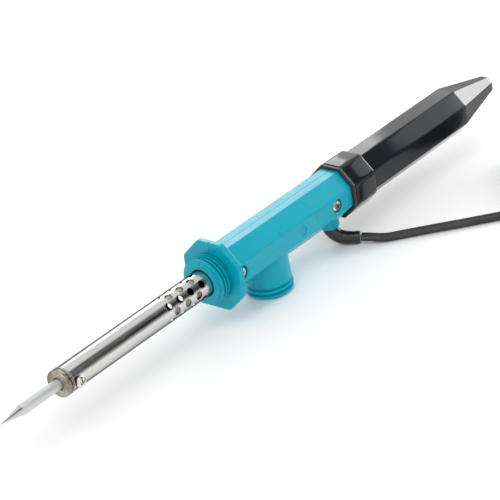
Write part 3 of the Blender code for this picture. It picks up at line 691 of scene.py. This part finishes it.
# Painted shade: the tube's inside gets a much darker base colour than its outside, so the vents look dark. A
# dark tint at low angles outlines its edges.
stainless = finish_of("drawn_stainless", (0.7, 0.695, 0.68), 0.2, 1.0)
tree = stainless.node_tree
steel_shader = tree.nodes["Principled BSDF"]
steel_shader.inputs["Specular Tint"].default_value = (0.03, 0.03, 0.03, 1.0)
where = tree.nodes.new("ShaderNodeTexCoord")
centred = tree.nodes.new("ShaderNodeMapping")
centred.inputs["Location"].default_value = (0.0, -zero.y, -zero.z)
centred.inputs["Scale"].default_value = (0.0, 1.0, 1.0)
off_axis = tree.nodes.new("ShaderNodeVectorMath")
off_axis.operation = "LENGTH"
tree.links.new(where.outputs["Object"], centred.inputs["Vector"])
tree.links.new(centred.outputs["Vector"], off_axis.inputs[0])
# Painted shade: the base colour falls to 0.16 of the steel's inside the tube's outer skin.
painted_inner_shade = ranged(stainless, off_axis.outputs["Value"], 0.16, 1.0, 0.00605, 0.00633)
streaks = ranged(stainless, grain(stainless, 35.0, (0.4, 1.0, 1.0)), 0.56, 0.70)
# Steel tone: the painted inner shade times the streaks.
steel_with_painted_shade = tree.nodes.new("ShaderNodeMath")
steel_with_painted_shade.operation = "MULTIPLY"
tree.links.new(painted_inner_shade, steel_with_painted_shade.inputs[0])
tree.links.new(streaks, steel_with_painted_shade.inputs[1])
steel_tone = tree.nodes.new("ShaderNodeCombineColor")
for channel, tint in (("Red", 1.0), ("Green", 0.995), ("Blue", 0.975)):
    tinted = tree.nodes.new("ShaderNodeMath")
    tinted.operation = "MULTIPLY"
    tinted.inputs[1].default_value = tint
    tree.links.new(steel_with_painted_shade.outputs[0], tinted.inputs[0])
    tree.links.new(tinted.outputs[0], steel_tone.inputs[channel])
tree.links.new(steel_tone.outputs[0], steel_shader.inputs["Base Color"])
roughened(stainless, grain(stainless, 1500.0, (0.012, 1.0, 1.0)), 0.13, 0.27)
bumped(stainless, grain(stainless, 2500.0, (0.01, 1.0, 1.0), 2.0), 0.00002, 0.3)

vent_tree = bpy.data.node_groups.new("vent_rows", "GeometryNodeTree")
sizes = named_inputs(
    vent_tree,
    (
        ("Tube", "Geometry"),
        ("Tube radius", "Float"),
        ("Vent radius", "Float"),
        ("Pitch", "Float"),
        ("Last vent", "Float"),
        ("Rows", "Int"),
        ("Metal", "Material"),
    ),
)


def worked(tree, how, first, second):
    """One sum in a node tree."""
    return step_of(tree, "ShaderNodeMath", {0: first, 1: second}, operation=how).outputs[0]


punch = step_of(
    vent_tree,
    "GeometryNodeMeshCylinder",
    {
        "Vertices": 28,
        "Radius": sizes.outputs["Vent radius"],
        "Depth": sizes.outputs["Tube radius"],
    },
)
outwards = step_of(vent_tree, "ShaderNodeCombineXYZ", {"Z": sizes.outputs["Tube radius"]})
punch = step_of(
    vent_tree,
    "GeometryNodeTransform",
    {"Geometry": punch.outputs["Mesh"], "Translation": outwards.outputs[0]},
)
back = worked(vent_tree, "MULTIPLY", sizes.outputs["Pitch"], -1.0)
back_step = step_of(vent_tree, "ShaderNodeCombineXYZ", {"X": back})
half_back = worked(vent_tree, "MULTIPLY", sizes.outputs["Pitch"], -0.5)
row_angle = worked(vent_tree, "DIVIDE", 2 * math.pi, sizes.outputs["Rows"])
row_pairs = worked(vent_tree, "DIVIDE", sizes.outputs["Rows"], 2.0)
punches = vent_tree.nodes.new("GeometryNodeJoinGeometry")
for staggered in (0, 1):
    start = worked(
        vent_tree,
        "ADD",
        sizes.outputs["Last vent"],
        worked(vent_tree, "MULTIPLY", half_back, 1.0 - staggered),
    )
    first_place = step_of(vent_tree, "ShaderNodeCombineXYZ", {"X": start})
    row = step_of(
        vent_tree,
        "GeometryNodeMeshLine",
        {
            "Count": 3 + staggered,
            "Start Location": first_place.outputs[0],
            "Offset": back_step.outputs[0],
        },
    )
    row_of_vents = step_of(
        vent_tree,
        "GeometryNodeInstanceOnPoints",
        {"Points": row.outputs[0], "Instance": punch.outputs[0]},
    )
    hub = step_of(vent_tree, "GeometryNodeMeshLine", {"Count": row_pairs, "Offset": (0.0, 0.0, 0.0)})
    counted = step_of(vent_tree, "GeometryNodeInputIndex", {})
    doubled = worked(vent_tree, "MULTIPLY", counted.outputs[0], 2.0)
    place = worked(vent_tree, "ADD", doubled, float(staggered))
    turn = worked(vent_tree, "MULTIPLY", place, row_angle)
    facing = step_of(vent_tree, "ShaderNodeCombineXYZ", {"X": turn})
    around = step_of(
        vent_tree,
        "GeometryNodeInstanceOnPoints",
        {
            "Points": hub.outputs[0],
            "Instance": row_of_vents.outputs[0],
            "Rotation": facing.outputs[0],
        },
    )
    vent_tree.links.new(around.outputs[0], punches.inputs[0])
real_punches = step_of(vent_tree, "GeometryNodeRealizeInstances", {"Geometry": punches.outputs[0]})
punched = step_of(
    vent_tree,
    "GeometryNodeMeshBoolean",
    {"Mesh 1": sizes.outputs["Tube"], "Mesh 2": real_punches.outputs[0]},
    operation="DIFFERENCE",
    solver="EXACT",
)
ended(vent_tree, punched.outputs[0], sizes.outputs["Metal"])

edge = 0.12
pipe_profile = [
    (sleeve_front, sleeve_bore),
    (sleeve_front, sleeve_radius - edge),
    (sleeve_front + edge, sleeve_radius),
    (-45.0, sleeve_radius),
    (-8.0, sleeve_radius),
    (sleeve_rear, sleeve_radius),
    (sleeve_rear, sleeve_bore),
    (-8.0, sleeve_bore),
    (-45.0, sleeve_bore),
]
pipe = turned("pipe", pipe_profile, sides=120, loops_back=True)
screw_hole = turned("screw_hole", [(0.0, 1.8), (9.0, 1.8)], "Z", (set_screw_place, 0, 0), 32)
post_hole = turned("post_hole", [(-9.0, 2.6), (9.0, 2.6)], "Z", (front_screw_place, 0, 0), 32)
pipe = cut(pipe, "DIFFERENCE", screw_hole, post_hole)
tube_mesh = grown(
    "tube",
    pipe,
    vent_tree,
    tool_mm,
    **{
        "Tube radius": sleeve_radius,
        "Vent radius": vent_radius,
        "Pitch": vent_pitch,
        "Last vent": last_vent,
        "Rows": vent_rows,
        "Metal": stainless,
    },
)
shown("tube", tube_mesh, stainless, "handle", "stainless_tube", "heater_tube")

# ---------------------------------------------------------------- nose bush
# Turned steel bush pressed into the front of the tube. It centres the bit and has the thread of the set
# screw; heat has tinted its face brown. A groove round its lip marks where the tube stops.

nose_metal = finish_of("nose_metal", (0.5, 0.44, 0.38), 0.3, 1.0)
nose_metal.node_tree.nodes["Principled BSDF"].inputs["Specular Tint"].default_value = (0.4, 0.36, 0.3, 1.0)
coloured(nose_metal, grain(nose_metal, 130.0), (0.26, 0.22, 0.17), (0.52, 0.49, 0.44), 0.36, 0.64)
roughened(nose_metal, grain(nose_metal, 700.0), 0.2, 0.4)
bumped(nose_metal, grain(nose_metal, 1200.0, (4.0, 1.0, 1.0)), 0.00002, 0.4)

lip_front = -105.5
lip_radius = 6.5
bush_profile = [
    (lip_front + 0.35, 2.8),
    (lip_front, 3.15),
    (lip_front, lip_radius - 0.6),
    (lip_front + 0.18, lip_radius - 0.18),
    (lip_front + 0.6, lip_radius),
    (-103.3, lip_radius),
    (-103.15, lip_radius - 0.15),
    (-103.0, lip_radius - 0.8),
    (-102.75, lip_radius - 0.8),
    (-102.6, lip_radius - 0.15),
    (-102.45, lip_radius),
    (-102.0, lip_radius),
    (-101.9, lip_radius - 0.1),
    (-101.9, 5.55),
    (-95.9, 5.55),
    (-95.6, 5.25),
    (-95.6, 2.8),
]
bush = turned("bush", bush_profile, sides=96, loops_back=True)
bush = cut(bush, "DIFFERENCE", turned("hole", [(0.0, 1.8), (9.0, 1.8)], "Z", (set_screw_place, 0, 0), 32))
bush.transform(tool_mm)
shown("bush", smoothed(bush), nose_metal, "handle", "nose_metal", "nose_bush")

# ---------------------------------------------------------------- bit
# Copper rod under a whitish satin plating that solder doesn't wet. The coating stops in a ragged edge
# where the bare iron-plated cone starts, bright and slightly hollow, drawn to a fine point.

bit_radius = 2.5
bit_point = -141.5
cone_length = 12.5
shoulder = bit_point + cone_length

bit_plating = finish_of("bit_plating", (0.72, 0.73, 0.72), 0.4, 0.75)
tree = bit_plating.node_tree
where = tree.nodes.new("ShaderNodeTexCoord")
split = tree.nodes.new("ShaderNodeSeparateXYZ")
tree.links.new(where.outputs["Object"], split.inputs[0])
wander = ranged(bit_plating, grain(bit_plating, 420.0), -0.0007, 0.0007, 0.3, 0.7)
edge_place = tree.nodes.new("ShaderNodeMath")
edge_place.operation = "ADD"
tree.links.new(split.outputs["X"], edge_place.inputs[0])
tree.links.new(wander, edge_place.inputs[1])
shoulder_x = (tool_mm @ Vector((shoulder, 0.0, 0.0))).x
coated = ranged(bit_plating, edge_place.outputs[0], 0.0, 1.0, shoulder_x, shoulder_x + 0.00025)
mix = tree.nodes.new("ShaderNodeMix")
mix.data_type = "RGBA"
mix.inputs["A"].default_value = (0.62, 0.61, 0.58, 1.0)
mix.inputs["B"].default_value = (0.64, 0.66, 0.66, 1.0)
tree.links.new(coated, mix.inputs["Factor"])
bit_shader = tree.nodes["Principled BSDF"]
tree.links.new(mix.outputs["Result"], bit_shader.inputs["Base Color"])
tree.links.new(ranged(bit_plating, coated, 0.07, 0.46, 0.0, 1.0), bit_shader.inputs["Roughness"])
tree.links.new(ranged(bit_plating, coated, 1.0, 0.6, 0.0, 1.0), bit_shader.inputs["Metallic"])
bumped(bit_plating, grain(bit_plating, 900.0, (0.35, 1.0, 1.0)), 0.00004, 0.5)

bit_profile = [(bit_point, 0.05)]
for k in range(1, 17):
    share = k / 16
    bit_profile.append((bit_point + share * cone_length, 0.05 + 2.25 * share**1.15))
bit_profile += [
    (shoulder + 0.08, 2.42),
    (shoulder + 0.25, bit_radius),
    (-100.0, bit_radius),
    (-60.0, bit_radius),
    (-42.5, bit_radius),
    (-42.0, 2.0),
]
bit = turned("iron_bit", bit_profile, sides=64, place=tool_mm)
shown("iron_bit", bit, bit_plating, "bit", "bit_plating", "bit")

# ---------------------------------------------------------------- screws and washer
# Bright zinc-plated pan-head screws with a cross recess. The set screw clamps the bit through the bush,
# with a dark split lock washer under its head; two longer ones hold the halves of the case together.

zinc = finish_of("zinc_plate", (0.78, 0.75, 0.68), 0.25, 1.0)
coloured(zinc, grain(zinc, 380.0), (0.30, 0.21, 0.13), (0.76, 0.73, 0.68), 0.38, 0.56)
roughened(zinc, grain(zinc, 900.0), 0.16, 0.34)
bumped(zinc, grain(zinc, 1500.0), 0.00002, 0.4)


def ridge(phase):
    """Height of a moulded or rolled thread at this share of a pitch: flat root, flank, flat crest, flank."""
    return eased(phase, 0.14, 0.34) - eased(phase, 0.68, 0.88)


def threaded(start, end, pitch, crest, root, angles, per_turn=10, fade=0.5):
    """Rings of a helical thread, (place, radii), that fades in and out over part of a pitch at its ends."""
    rings = []
    count = max(2, round(abs(end - start) / pitch * per_turn))
    for step in range(count + 1):
        reach = start + (end - start) * step / count
        room = min(abs(reach - start), abs(end - reach)) / (fade * pitch)
        radii = []
        for angle in angles:
            phase = ((reach - start) / pitch - angle / (2 * math.pi)) % 1.0
            radii.append(root + (crest - root) * ridge(phase) * min(1.0, room))
        rings.append((reach, radii))
    return rings


def about(axis, rings, angles, centre):
    """Points of (place, radii) rings about an axis through centre."""
    made = []
    for reach, radii in rings:
        ring = []
        for radius, angle in zip(radii, angles):
            a = radius * math.cos(angle)
            b = radius * math.sin(angle)
            point = {"X": (reach, a, b), "Y": (b, reach, a), "Z": (a, b, reach)}[axis]
            ring.append(Vector(centre) + Vector(point))
        made.append(ring)
    return made


def pan_screw(name, place, foot, seat, shank, root, pitch, head_radius, head_height, pointed):
    """Screw along +Z of the tool: threaded shank from foot to seat, domed head above, cross recess."""
    angles = [2 * math.pi * k / 40 for k in range(40)]
    rings = []
    if pointed:
        rings.append((foot, [0.25] * 40))
        foot += 1.4
    rings.append((foot, [root] * 40))
    rings += threaded(foot + 0.01, seat - 0.3, pitch, shank, root, angles, 8)
    rings.append((seat - 0.25, [shank] * 40))
    for reach, radius in ((0.0, shank), (0.0, head_radius - 0.15), (0.12, head_radius), (0.55, head_radius)):
        rings.append((seat + reach, [radius] * 40))
    for k in range(1, 11):
        turn = math.radians(9 * k)
        rings.append(
            (
                seat + 0.55 + (head_height - 0.55) * math.sin(turn),
                [max(0.12, head_radius * math.cos(turn) ** 0.75)] * 40,
            )
        )
    blank = skin(name, about("Z", rings, angles, (place, 0.0, 0.0)), as_drawn)
    recess = []
    top = seat + head_height
    for reach, arm, half in ((-1.3, 0.6, 0.2), (-0.7, 1.3, 0.36), (0.4, 1.85, 0.46)):
        cross = []
        for quarter in range(4):
            turn = Matrix.Rotation(math.pi / 2 * quarter + math.radians(20), 3, "Z")
            for x, y in ((arm, -half), (arm, half), (half, half)):
                cross.append(turn @ Vector((x, y, 0.0)) + Vector((place, 0.0, top + reach)))
        recess.append(cross)
    cutter = skin("recess", recess, as_drawn)
    made = cut(blank, "DIFFERENCE", cutter)
    made.transform(tool_mm)
    return smoothed(made, 40.0)


washer_bottom = 6.65
head_seat = 7.45
shown(
    "set_screw",
    pan_screw("set_screw", set_screw_place, 2.8, head_seat, 1.5, 1.25, 0.5, 2.7, 1.7, False),
    zinc,
    "set_screw",
    "zinc_screw",
    "bit_set_screw",
)
case_seat = 9.8
for end, place in (("front", front_screw_place), ("rear", 76.3)):
    shown(
        end + "_screw",
        pan_screw(end + "_screw", place, case_seat - 15.0, case_seat, 1.45, 1.1, 1.1, 2.7, 1.5, True),
        zinc,
        "handle",
        "zinc_screw",
        end + "_case_screw",
    )

blackened = finish_of("blackened_steel", (0.035, 0.034, 0.033), 0.4, 0.85)
coloured(blackened, grain(blackened, 600.0), (0.025, 0.025, 0.025), (0.09, 0.085, 0.08))
roughened(blackened, grain(blackened, 900.0), 0.3, 0.5)
split_rings = []
split_gap = math.radians(12)
for k in range(57):
    turn = split_gap / 2 + (2 * math.pi - split_gap) * k / 56
    rise = 0.1 * (k / 56 - 0.5)
    ring = []
    for radius, up in ((1.85, 0.03), (2.6, 0.03), (2.68, 0.1), (2.68, 0.4), (2.6, 0.47), (1.85, 0.47)):
        height = washer_bottom + 0.25 + (up - 0.25) * 0.8 + rise
        ring.append((set_screw_place + radius * math.cos(turn), radius * math.sin(turn), height))
    split_rings.append(ring)
washer = skin("washer", split_rings, tool_mm)
shown("split_washer", washer, blackened, "screw_washer", "washer_steel", "lock_washer")

# ---------------------------------------------------------------- heating element and wiring
# Nichrome wire wound on a ceramic former and wrapped in mica. Its two leads run back through ceramic
# beads and a mica disc to crimps under glass sleeving, where the cord's cores start.

ceramic = finish_of("ceramic", (0.82, 0.79, 0.70), 0.6)
coloured(ceramic, grain(ceramic, 300.0), (0.72, 0.68, 0.58), (0.86, 0.84, 0.76))
bumped(ceramic, grain(ceramic, 1500.0), 0.00005, 0.5)
nichrome = finish_of("nichrome", (0.3, 0.27, 0.25), 0.4, 1.0)
coloured(nichrome, grain(nichrome, 400.0), (0.22, 0.19, 0.18), (0.42, 0.38, 0.35))
mica = finish_of("mica", (0.6, 0.53, 0.4), 0.45)
coloured(mica, grain(mica, 120.0, (0.3, 1.0, 1.0)), (0.50, 0.42, 0.30), (0.72, 0.66, 0.54))
bumped(mica, grain(mica, 500.0, (0.2, 1.0, 1.0)), 0.00008, 0.5)
tinned = finish_of("tinned_copper", (0.68, 0.65, 0.6), 0.35, 1.0)
coloured(tinned, grain(tinned, 500.0), (0.60, 0.56, 0.50), (0.76, 0.74, 0.71))
insulation = finish_of("core_insulation", (0.78, 0.78, 0.76), 0.45)
coloured(insulation, grain(insulation, 200.0), (0.72, 0.72, 0.69), (0.82, 0.82, 0.80))
glass = finish_of("glass_sleeving", (0.82, 0.82, 0.77), 0.75)
coloured(glass, grain(glass, 900.0, (1.0, 0.4, 1.0)), (0.68, 0.68, 0.62), (0.88, 0.88, 0.84))
bumped(glass, grain(glass, 1400.0, (1.0, 0.3, 1.0)), 0.0001, 0.7)
for node, inner_finish in (
    ("heater_core", ceramic),
    ("ceramic_bead_a", ceramic),
    ("ceramic_bead_b", ceramic),
    ("heater_winding", nichrome),
    ("heater_lead_a", nichrome),
    ("heater_lead_b", nichrome),
    ("mica_wrap", mica),
    ("mica_disc", mica),
    ("crimp_a", tinned),
    ("crimp_b", tinned),
    ("crimp_sleeve_a", glass),
    ("crimp_sleeve_b", glass),
    ("core_wire_a", insulation),
    ("core_wire_b", insulation),
    ("cord_tail", black_sheath),
):
    for material_slot in nodes[node].material_slots:
        material_slot.material = inner_finish

# ---------------------------------------------------------------- case
# Two turquoise plastic shells, injection moulded and screwed together at the seam along the tool axis.
# The hand guard, the threaded bosses at the front, side and rear and the cord exit are moulded in.

case_apothem = 11.4
case_bore = 9.2
guard_apothem = 16.6
guard_front = -1.4
guard_rear = 1.6
thread_crest = 11.3
thread_root = 10.0
front_pitch = 1.95
boss_face = -9.2
grip_pitch = 2.6
side_boss_place = 34.5
side_boss_reach = 25.2
spigot_end = 98.5
seam_gap = 0.18
rear_screw_place = 76.3

turquoise = finish_of("turquoise_plastic", (0.0, 0.4, 0.52), 0.28)
turquoise.node_tree.nodes["Principled BSDF"].inputs["Specular IOR Level"].default_value = 0.3
coloured(turquoise, grain(turquoise, 14.0, detail=0.0), (0.0, 0.352, 0.46), (0.0, 0.368, 0.48))
roughened(turquoise, grain(turquoise, 60.0, detail=0.0), 0.26, 0.3)
bumped(turquoise, grain(turquoise, 900.0, detail=1.0), 0.00001, 0.3)

# Points round an eight-sided ring: five on each corner's arc, seven along each flat.
corner_steps = 5
flat_steps = 7
ring_angles = []
for side in range(8):
    middle = 22.5 + 45.0 * side
    ring_angles += [math.radians(middle + 2.5 * (k / 2 - 1)) for k in range(corner_steps)]
    ring_angles += [math.radians(middle + 2.5 + 5.0 * (k + 1)) for k in range(flat_steps)]


def flats(reach, apothem, corner):
    """Eight-sided ring across X with flats square to Y and Z; its corners are arcs of radius corner."""
    middle_reach = (apothem - corner) / math.cos(math.pi / 8)
    corners = []
    for side in range(8):
        middle = math.pi / 8 + side * math.pi / 4
        arc = []
        for step in range(corner_steps):
            sweep = (step / (corner_steps - 1) - 0.5) * math.pi / 4
            y = middle_reach * math.cos(middle) + corner * math.cos(middle + sweep)
            z = middle_reach * math.sin(middle) + corner * math.sin(middle + sweep)
            arc.append(Vector((reach, y, z)))
        corners.append(arc)
    ring = []
    for arc, following in zip(corners, corners[1:] + corners[:1]):
        ring += arc
        ring += [arc[-1].lerp(following[0], (k + 1) / (flat_steps + 1)) for k in range(flat_steps)]
    return ring


def flat_sided(name, profile, corner, place=as_drawn):
    """Eight-sided solid through (place, apothem) pairs."""
    return skin(name, [flats(reach, apothem, corner) for reach, apothem in profile], place)


def rounded_edge(reach, apothem, radius, inwards, steps=4):
    """Quarter-round between an end face and a side: (place, apothem) pairs from the face to the side."""
    pairs = []
    for step in range(steps + 1):
        turn = math.pi / 2 * step / steps
        pairs.append(
            (reach + inwards * radius * (1 - math.sin(turn)), apothem - radius * (1 - math.cos(turn)))
        )
    return pairs[::-1]


def even(radius):
    return [radius] * len(ring_angles)


body_profile = [(guard_front + 1.0, case_apothem), (30.0, case_apothem), (60.0, case_apothem)]
body_profile += rounded_edge(case_rear, case_apothem, 0.4, -1)[::-1]
body = flat_sided("case", body_profile, 1.3)
guard_profile = rounded_edge(guard_front, guard_apothem, 0.7, 1)
guard_profile += rounded_edge(guard_rear, guard_apothem, 0.45, -1)[::-1]
guard = flat_sided("guard", guard_profile, 3.0)

front_root = 9.6
boss_rings = [(boss_face, even(front_root - 0.2)), (boss_face + 0.2, even(front_root))]
boss_rings += threaded(
    boss_face + 0.25, guard_front - 0.1, front_pitch, thread_crest, front_root, ring_angles, 16, 0.25
)
boss_rings.append((guard_front + 1.0, even(front_root)))
front_boss = skin("front_boss", about("X", boss_rings, ring_angles, (0, 0, 0)), as_drawn, sharp=60.0)

side_shoulder = -19.0
side_rings = [(-side_boss_reach, even(thread_root - 0.25)), (-side_boss_reach + 0.25, even(thread_root))]
side_rings += threaded(
    -side_boss_reach + 0.3, side_shoulder - 0.9, grip_pitch, thread_crest, thread_root, ring_angles, 14, 0.3
)
neck_profile = (
    (side_shoulder - 0.7, thread_root),
    (side_shoulder - 0.45, 10.75),
    (side_shoulder, 11.1),
    (-15.2, 10.8),
    (-case_apothem, 10.5),
    (-2.0, 10.5),
)
side_rings += [(reach, even(radius)) for reach, radius in neck_profile]
side_boss = skin(
    "side_boss", about("Y", side_rings, ring_angles, (side_boss_place, 0, 0)), as_drawn, sharp=60.0
)

spigot_rings = [(case_rear - 1.0, even(thread_root))]
spigot_rings += threaded(
    case_rear + 0.1, spigot_end - 1.0, grip_pitch, thread_crest, thread_root, ring_angles, 14, 0.4
)
spigot_rings += [(spigot_end - 0.5, even(thread_root)), (spigot_end, even(thread_root - 0.5))]
spigot = skin("spigot", about("X", spigot_rings, ring_angles, (0, 0, 0)), as_drawn, sharp=60.0)

exit_profile = [(-exit_collar_reach, 4.3), (-15.35, 4.65), (-15.0, 4.85), (-14.6, 4.9), (-9.4, 4.9)]
exit_collar = turned("exit_collar", exit_profile, "Y", (exit_place, 0, 0), 56)

case = cut(body, "UNION", guard, front_boss, side_boss, spigot, exit_collar)

case_wall = 2.2
spigot_bore = thread_root - case_wall
tube_bore = 6.71
tube_seat_end = 3.5
hollow = turned(
    "hollow",
    [
        (boss_face - 1.0, tube_bore + 0.29),
        (boss_face, tube_bore + 0.29),
        (boss_face + 0.3, tube_bore),
        (tube_seat_end, tube_bore),
        (tube_seat_end, case_bore),
        (case_rear - case_wall, case_bore),
        (case_rear - 1.2, spigot_bore),
        (spigot_end - case_wall, spigot_bore),
    ],
)
side_hollow = turned("side_hollow", [(-23.0, 8.3), (0.0, 8.3)], "Y", (side_boss_place, 0, 0))
exit_hole = turned("exit_hole", [(-16.6, 3.8), (-6.2, 3.8)], "Y", (exit_place, 0, 0), 48)
# Round mark of the mould's ejector, between the two screws.
mark = turned("mark", [(case_apothem - 0.25, 2.3), (case_apothem + 1.0, 2.3)], "Z", (50.4, 0, 0), 48)
case = cut(case, "DIFFERENCE", hollow, side_hollow, exit_hole, mark)

screw_way = 1.75
counterbore = 3.25
for side, half in (("right", 1.0), ("left", -1.0)):
    block = [
        [
            (x, y, half * z)
            for y, z in ((-40.0, seam_gap / 2), (40.0, seam_gap / 2), (40.0, 30.0), (-40.0, 30.0))
        ]
        for x in (-20.0, 110.0)
    ]
    shell = cut(case, "INTERSECT", skin("block", block, as_drawn))
    for place in (front_screw_place, rear_screw_place):
        at = (place, 0.0, 0.0)
        if half > 0:
            post = [(0.15, 2.3), (6.95, 2.3), (6.95, 3.9), (case_apothem - 0.73, 3.9)]
            drilled = [
                (-1.0, screw_way),
                (case_apothem - 1.9, screw_way),
                (case_apothem - 1.9, counterbore),
                (case_apothem - 0.2, counterbore),
                (case_apothem + 0.1, counterbore + 0.3),
                (case_apothem + 1.0, counterbore + 0.3),
            ]
        else:
            post = [(-9.5, 2.3), (-0.15, 2.3)]
            drilled = [(-6.5, screw_way), (1.0, screw_way)]
        shell = cut(shell, "UNION", turned("post", post, "Z", at, 32))
        shell = cut(shell, "DIFFERENCE", turned("drilled", drilled, "Z", at, 48))
    holder = bpy.data.objects.new("holder", smoothed(shell, 30.0))
    bpy.context.scene.collection.objects.link(holder)
    flatten = holder.modifiers.new("flat_faces", "WEIGHTED_NORMAL")
    flatten.keep_sharp = True
    flatten.weight = 100
    bpy.context.view_layer.update()
    graph = bpy.context.evaluated_depsgraph_get()
    smooth_shell = bpy.data.meshes.new_from_object(holder.evaluated_get(graph))
    bpy.data.objects.remove(holder)
    smooth_shell.transform(tool_mm)
    shown(side + "_shell", smooth_shell, turquoise, "handle", "turquoise_case", side + "_case")

# ---------------------------------------------------------------- grip
# Polished black phenolic in two pieces, a threaded collar and a long eight-sided tube with a tapered
# end, and a rubber seal between the collar and the case. It screws onto the rear spigot.

black_gloss = finish_of("black_gloss", (0.012, 0.014, 0.017), 0.1)
black_gloss.node_tree.nodes["Principled BSDF"].inputs["Specular IOR Level"].default_value = 0.36
coloured(black_gloss, grain(black_gloss, 30.0, (0.4, 1.0, 1.0)), (0.006, 0.008, 0.011), (0.012, 0.015, 0.02))
roughened(black_gloss, grain(black_gloss, 80.0, (0.5, 1.0, 1.0)), 0.09, 0.14)
bumped(black_gloss, grain(black_gloss, 45.0, (0.35, 1.0, 1.0), 1.0), 0.00004, 0.25)

seal_front = 86.8
seal_rear = 89.0
collar_apothem = 12.9
seal_loop = [flats(seal_front, case_apothem + 0.3, 0.6)]
seal_loop += [flats(*pair, 1.2) for pair in rounded_edge(seal_front, collar_apothem, 0.5, 1)]
seal_loop += [flats(*pair, 1.2) for pair in rounded_edge(seal_rear, collar_apothem, 0.5, -1)[::-1]]
seal_loop.append(flats(seal_rear, case_apothem + 0.3, 0.6))
seal = skin("seal_ring", seal_loop, tool_mm, loops_back=True)
shown("seal_ring", seal, black_rubber, "grip_ring", "black_rubber", "grip_seal")

collar_front = 89.3
collar_rear = 104.2
thread_end = 99.5
collar_loop = [flats(*pair, 3.2) for pair in rounded_edge(collar_front, collar_apothem, 0.35, 1)]
collar_loop += [flats(*pair, 3.2) for pair in rounded_edge(collar_rear, collar_apothem, 0.8, -1)[::-1]]
inner_rings = [(collar_rear, even(10.9)), (collar_rear - 0.2, even(10.7)), (thread_end, even(10.7))]
inner_rings += threaded(
    thread_end - 0.01, collar_front + 0.6, grip_pitch, 11.5, 12.0, ring_angles, 12, 0.4
)
inner_rings.append((collar_front, even(12.1)))
collar_loop += about("X", inner_rings, ring_angles, (0, 0, 0))
collar = skin("collar", collar_loop, tool_mm, loops_back=True)
shown("collar", collar, black_gloss, "grip", "black_grip", "grip_collar")

grip_front = 104.5
grip_apothem = 11.15
taper_start = 180.0
taper_end = 209.0
grip_corner = 0.9
end_apothem = 4.9
nose_apothem = 2.4
nose_length = 4.2
inside_rings = [
    (taper_end - 4.0, even(3.2)),
    (taper_start, even(9.1)),
    (99.8, even(9.1)),
    (99.8, even(10.2)),
    (100.0, even(10.4)),
    (grip_front, even(10.4)),
]
grip_rings = about("X", inside_rings, ring_angles, (0, 0, 0))
grip_rings += [flats(*pair, grip_corner) for pair in rounded_edge(grip_front, grip_apothem, 0.3, 1)]
grip_rings.append(flats(taper_start - 0.35, grip_apothem, grip_corner))
grip_rings.append(flats(taper_start + 0.35, grip_apothem - 0.08, grip_corner))
grip_rings.append(flats(taper_end, end_apothem, grip_corner))
for k in range(1, 9):
    turn = math.radians(90 * k / 8)
    apothem = nose_apothem + (end_apothem - nose_apothem) * math.cos(turn)
    grip_rings.append(flats(taper_end + nose_length * math.sin(turn), apothem, grip_corner + 0.07 * k))
long_grip = skin("long_grip", grip_rings, tool_mm)
shown("long_grip", long_grip, black_gloss, "grip", "black_grip", "grip_tube")

# ---------------------------------------------------------------- light and floor
# A white studio with dark flags in its sky, softboxes behind the iron and off its end that its facets
# mirror, a large one overhead on the camera's side, and a pale table.

world = bpy.data.worlds.new("studio")
bpy.context.scene.world = world
world.use_nodes = True
sky = world.node_tree
direction = sky.nodes.new("ShaderNodeTexCoord")
bare_sky = sky.nodes.new("ShaderNodeValue")
bare_sky.outputs[0].default_value = 0.95
brightness = bare_sky.outputs[0]
# Black flags: one for the middle facets, a grey one below it for the tube, and a narrow one for the bit.
for towards, start, end, left in (
    ((0.60, -0.61, 0.52), 0.87, 0.97, 0.06),
    ((0.66, -0.72, 0.2), 0.88, 0.97, 0.5),
    ((0.25, -0.38, 0.89), 0.955, 0.985, 0.1),
):
    facing = sky.nodes.new("ShaderNodeVectorMath")
    facing.operation = "DOT_PRODUCT"
    facing.inputs[1].default_value = Vector(towards).normalized()
    flag = sky.nodes.new("ShaderNodeMapRange")
    flag.interpolation_type = "SMOOTHSTEP"
    for socket, value in (("From Min", start), ("From Max", end), ("To Min", 1.0), ("To Max", left)):
        flag.inputs[socket].default_value = value
    sky.links.new(direction.outputs["Generated"], facing.inputs[0])
    sky.links.new(facing.outputs["Value"], flag.inputs["Value"])
    shaded = sky.nodes.new("ShaderNodeMath")
    shaded.operation = "MULTIPLY"
    sky.links.new(flag.outputs["Result"], shaded.inputs[0])
    sky.links.new(brightness, shaded.inputs[1])
    brightness = shaded.outputs[0]
sky.links.new(brightness, sky.nodes["Background"].inputs["Strength"])
sky.nodes["Background"].inputs["Color"].default_value = (1.0, 1.0, 1.0, 1.0)


def softbox(name, place, aim, size, power):
    light = bpy.data.lights.new(name, "AREA")
    light.shape = "RECTANGLE"
    light.size, light.size_y = size
    light.energy = power
    lamp = bpy.data.objects.new(name, light)
    bpy.context.scene.collection.objects.link(lamp)
    lamp.location = place
    lamp.rotation_euler = (Vector(place) - Vector(aim)).to_track_quat("Z", "Y").to_euler()


softbox("top_softbox", (0.475, 0.519, 0.407), (0.0, 0.0, 0.03), (0.24, 0.25), 0.9)
softbox("grip_softbox", (0.74, 0.44, 0.38), (0.12, 0.0, 0.03), (0.26, 0.3), 0.2)
softbox("grip_side_softbox", (0.72, -0.35, 0.49), (0.12, 0.0, 0.03), (0.24, 0.22), 0.3)
softbox("end_softbox", (0.877, -0.136, 0.265), (0.158, 0.0, 0.03), (0.36, 0.32), 4.4)
softbox("overhead", (-0.6, -0.4, 1.3), (0.0, 0.0, 0.0), (0.9, 0.9), 4.2)

table_mesh = bpy.data.meshes.new("table")
table_mesh.from_pydata([(-3, -3, 0), (3, -3, 0), (3, 3, 0), (-3, 3, 0)], [], [(0, 1, 2, 3)])
table = bpy.data.objects.new("table", table_mesh)
bpy.context.scene.collection.objects.link(table)
pale_table = finish_of("pale_table", (0.95, 0.95, 0.95), 0.8)
table_mesh.materials.append(pale_table)
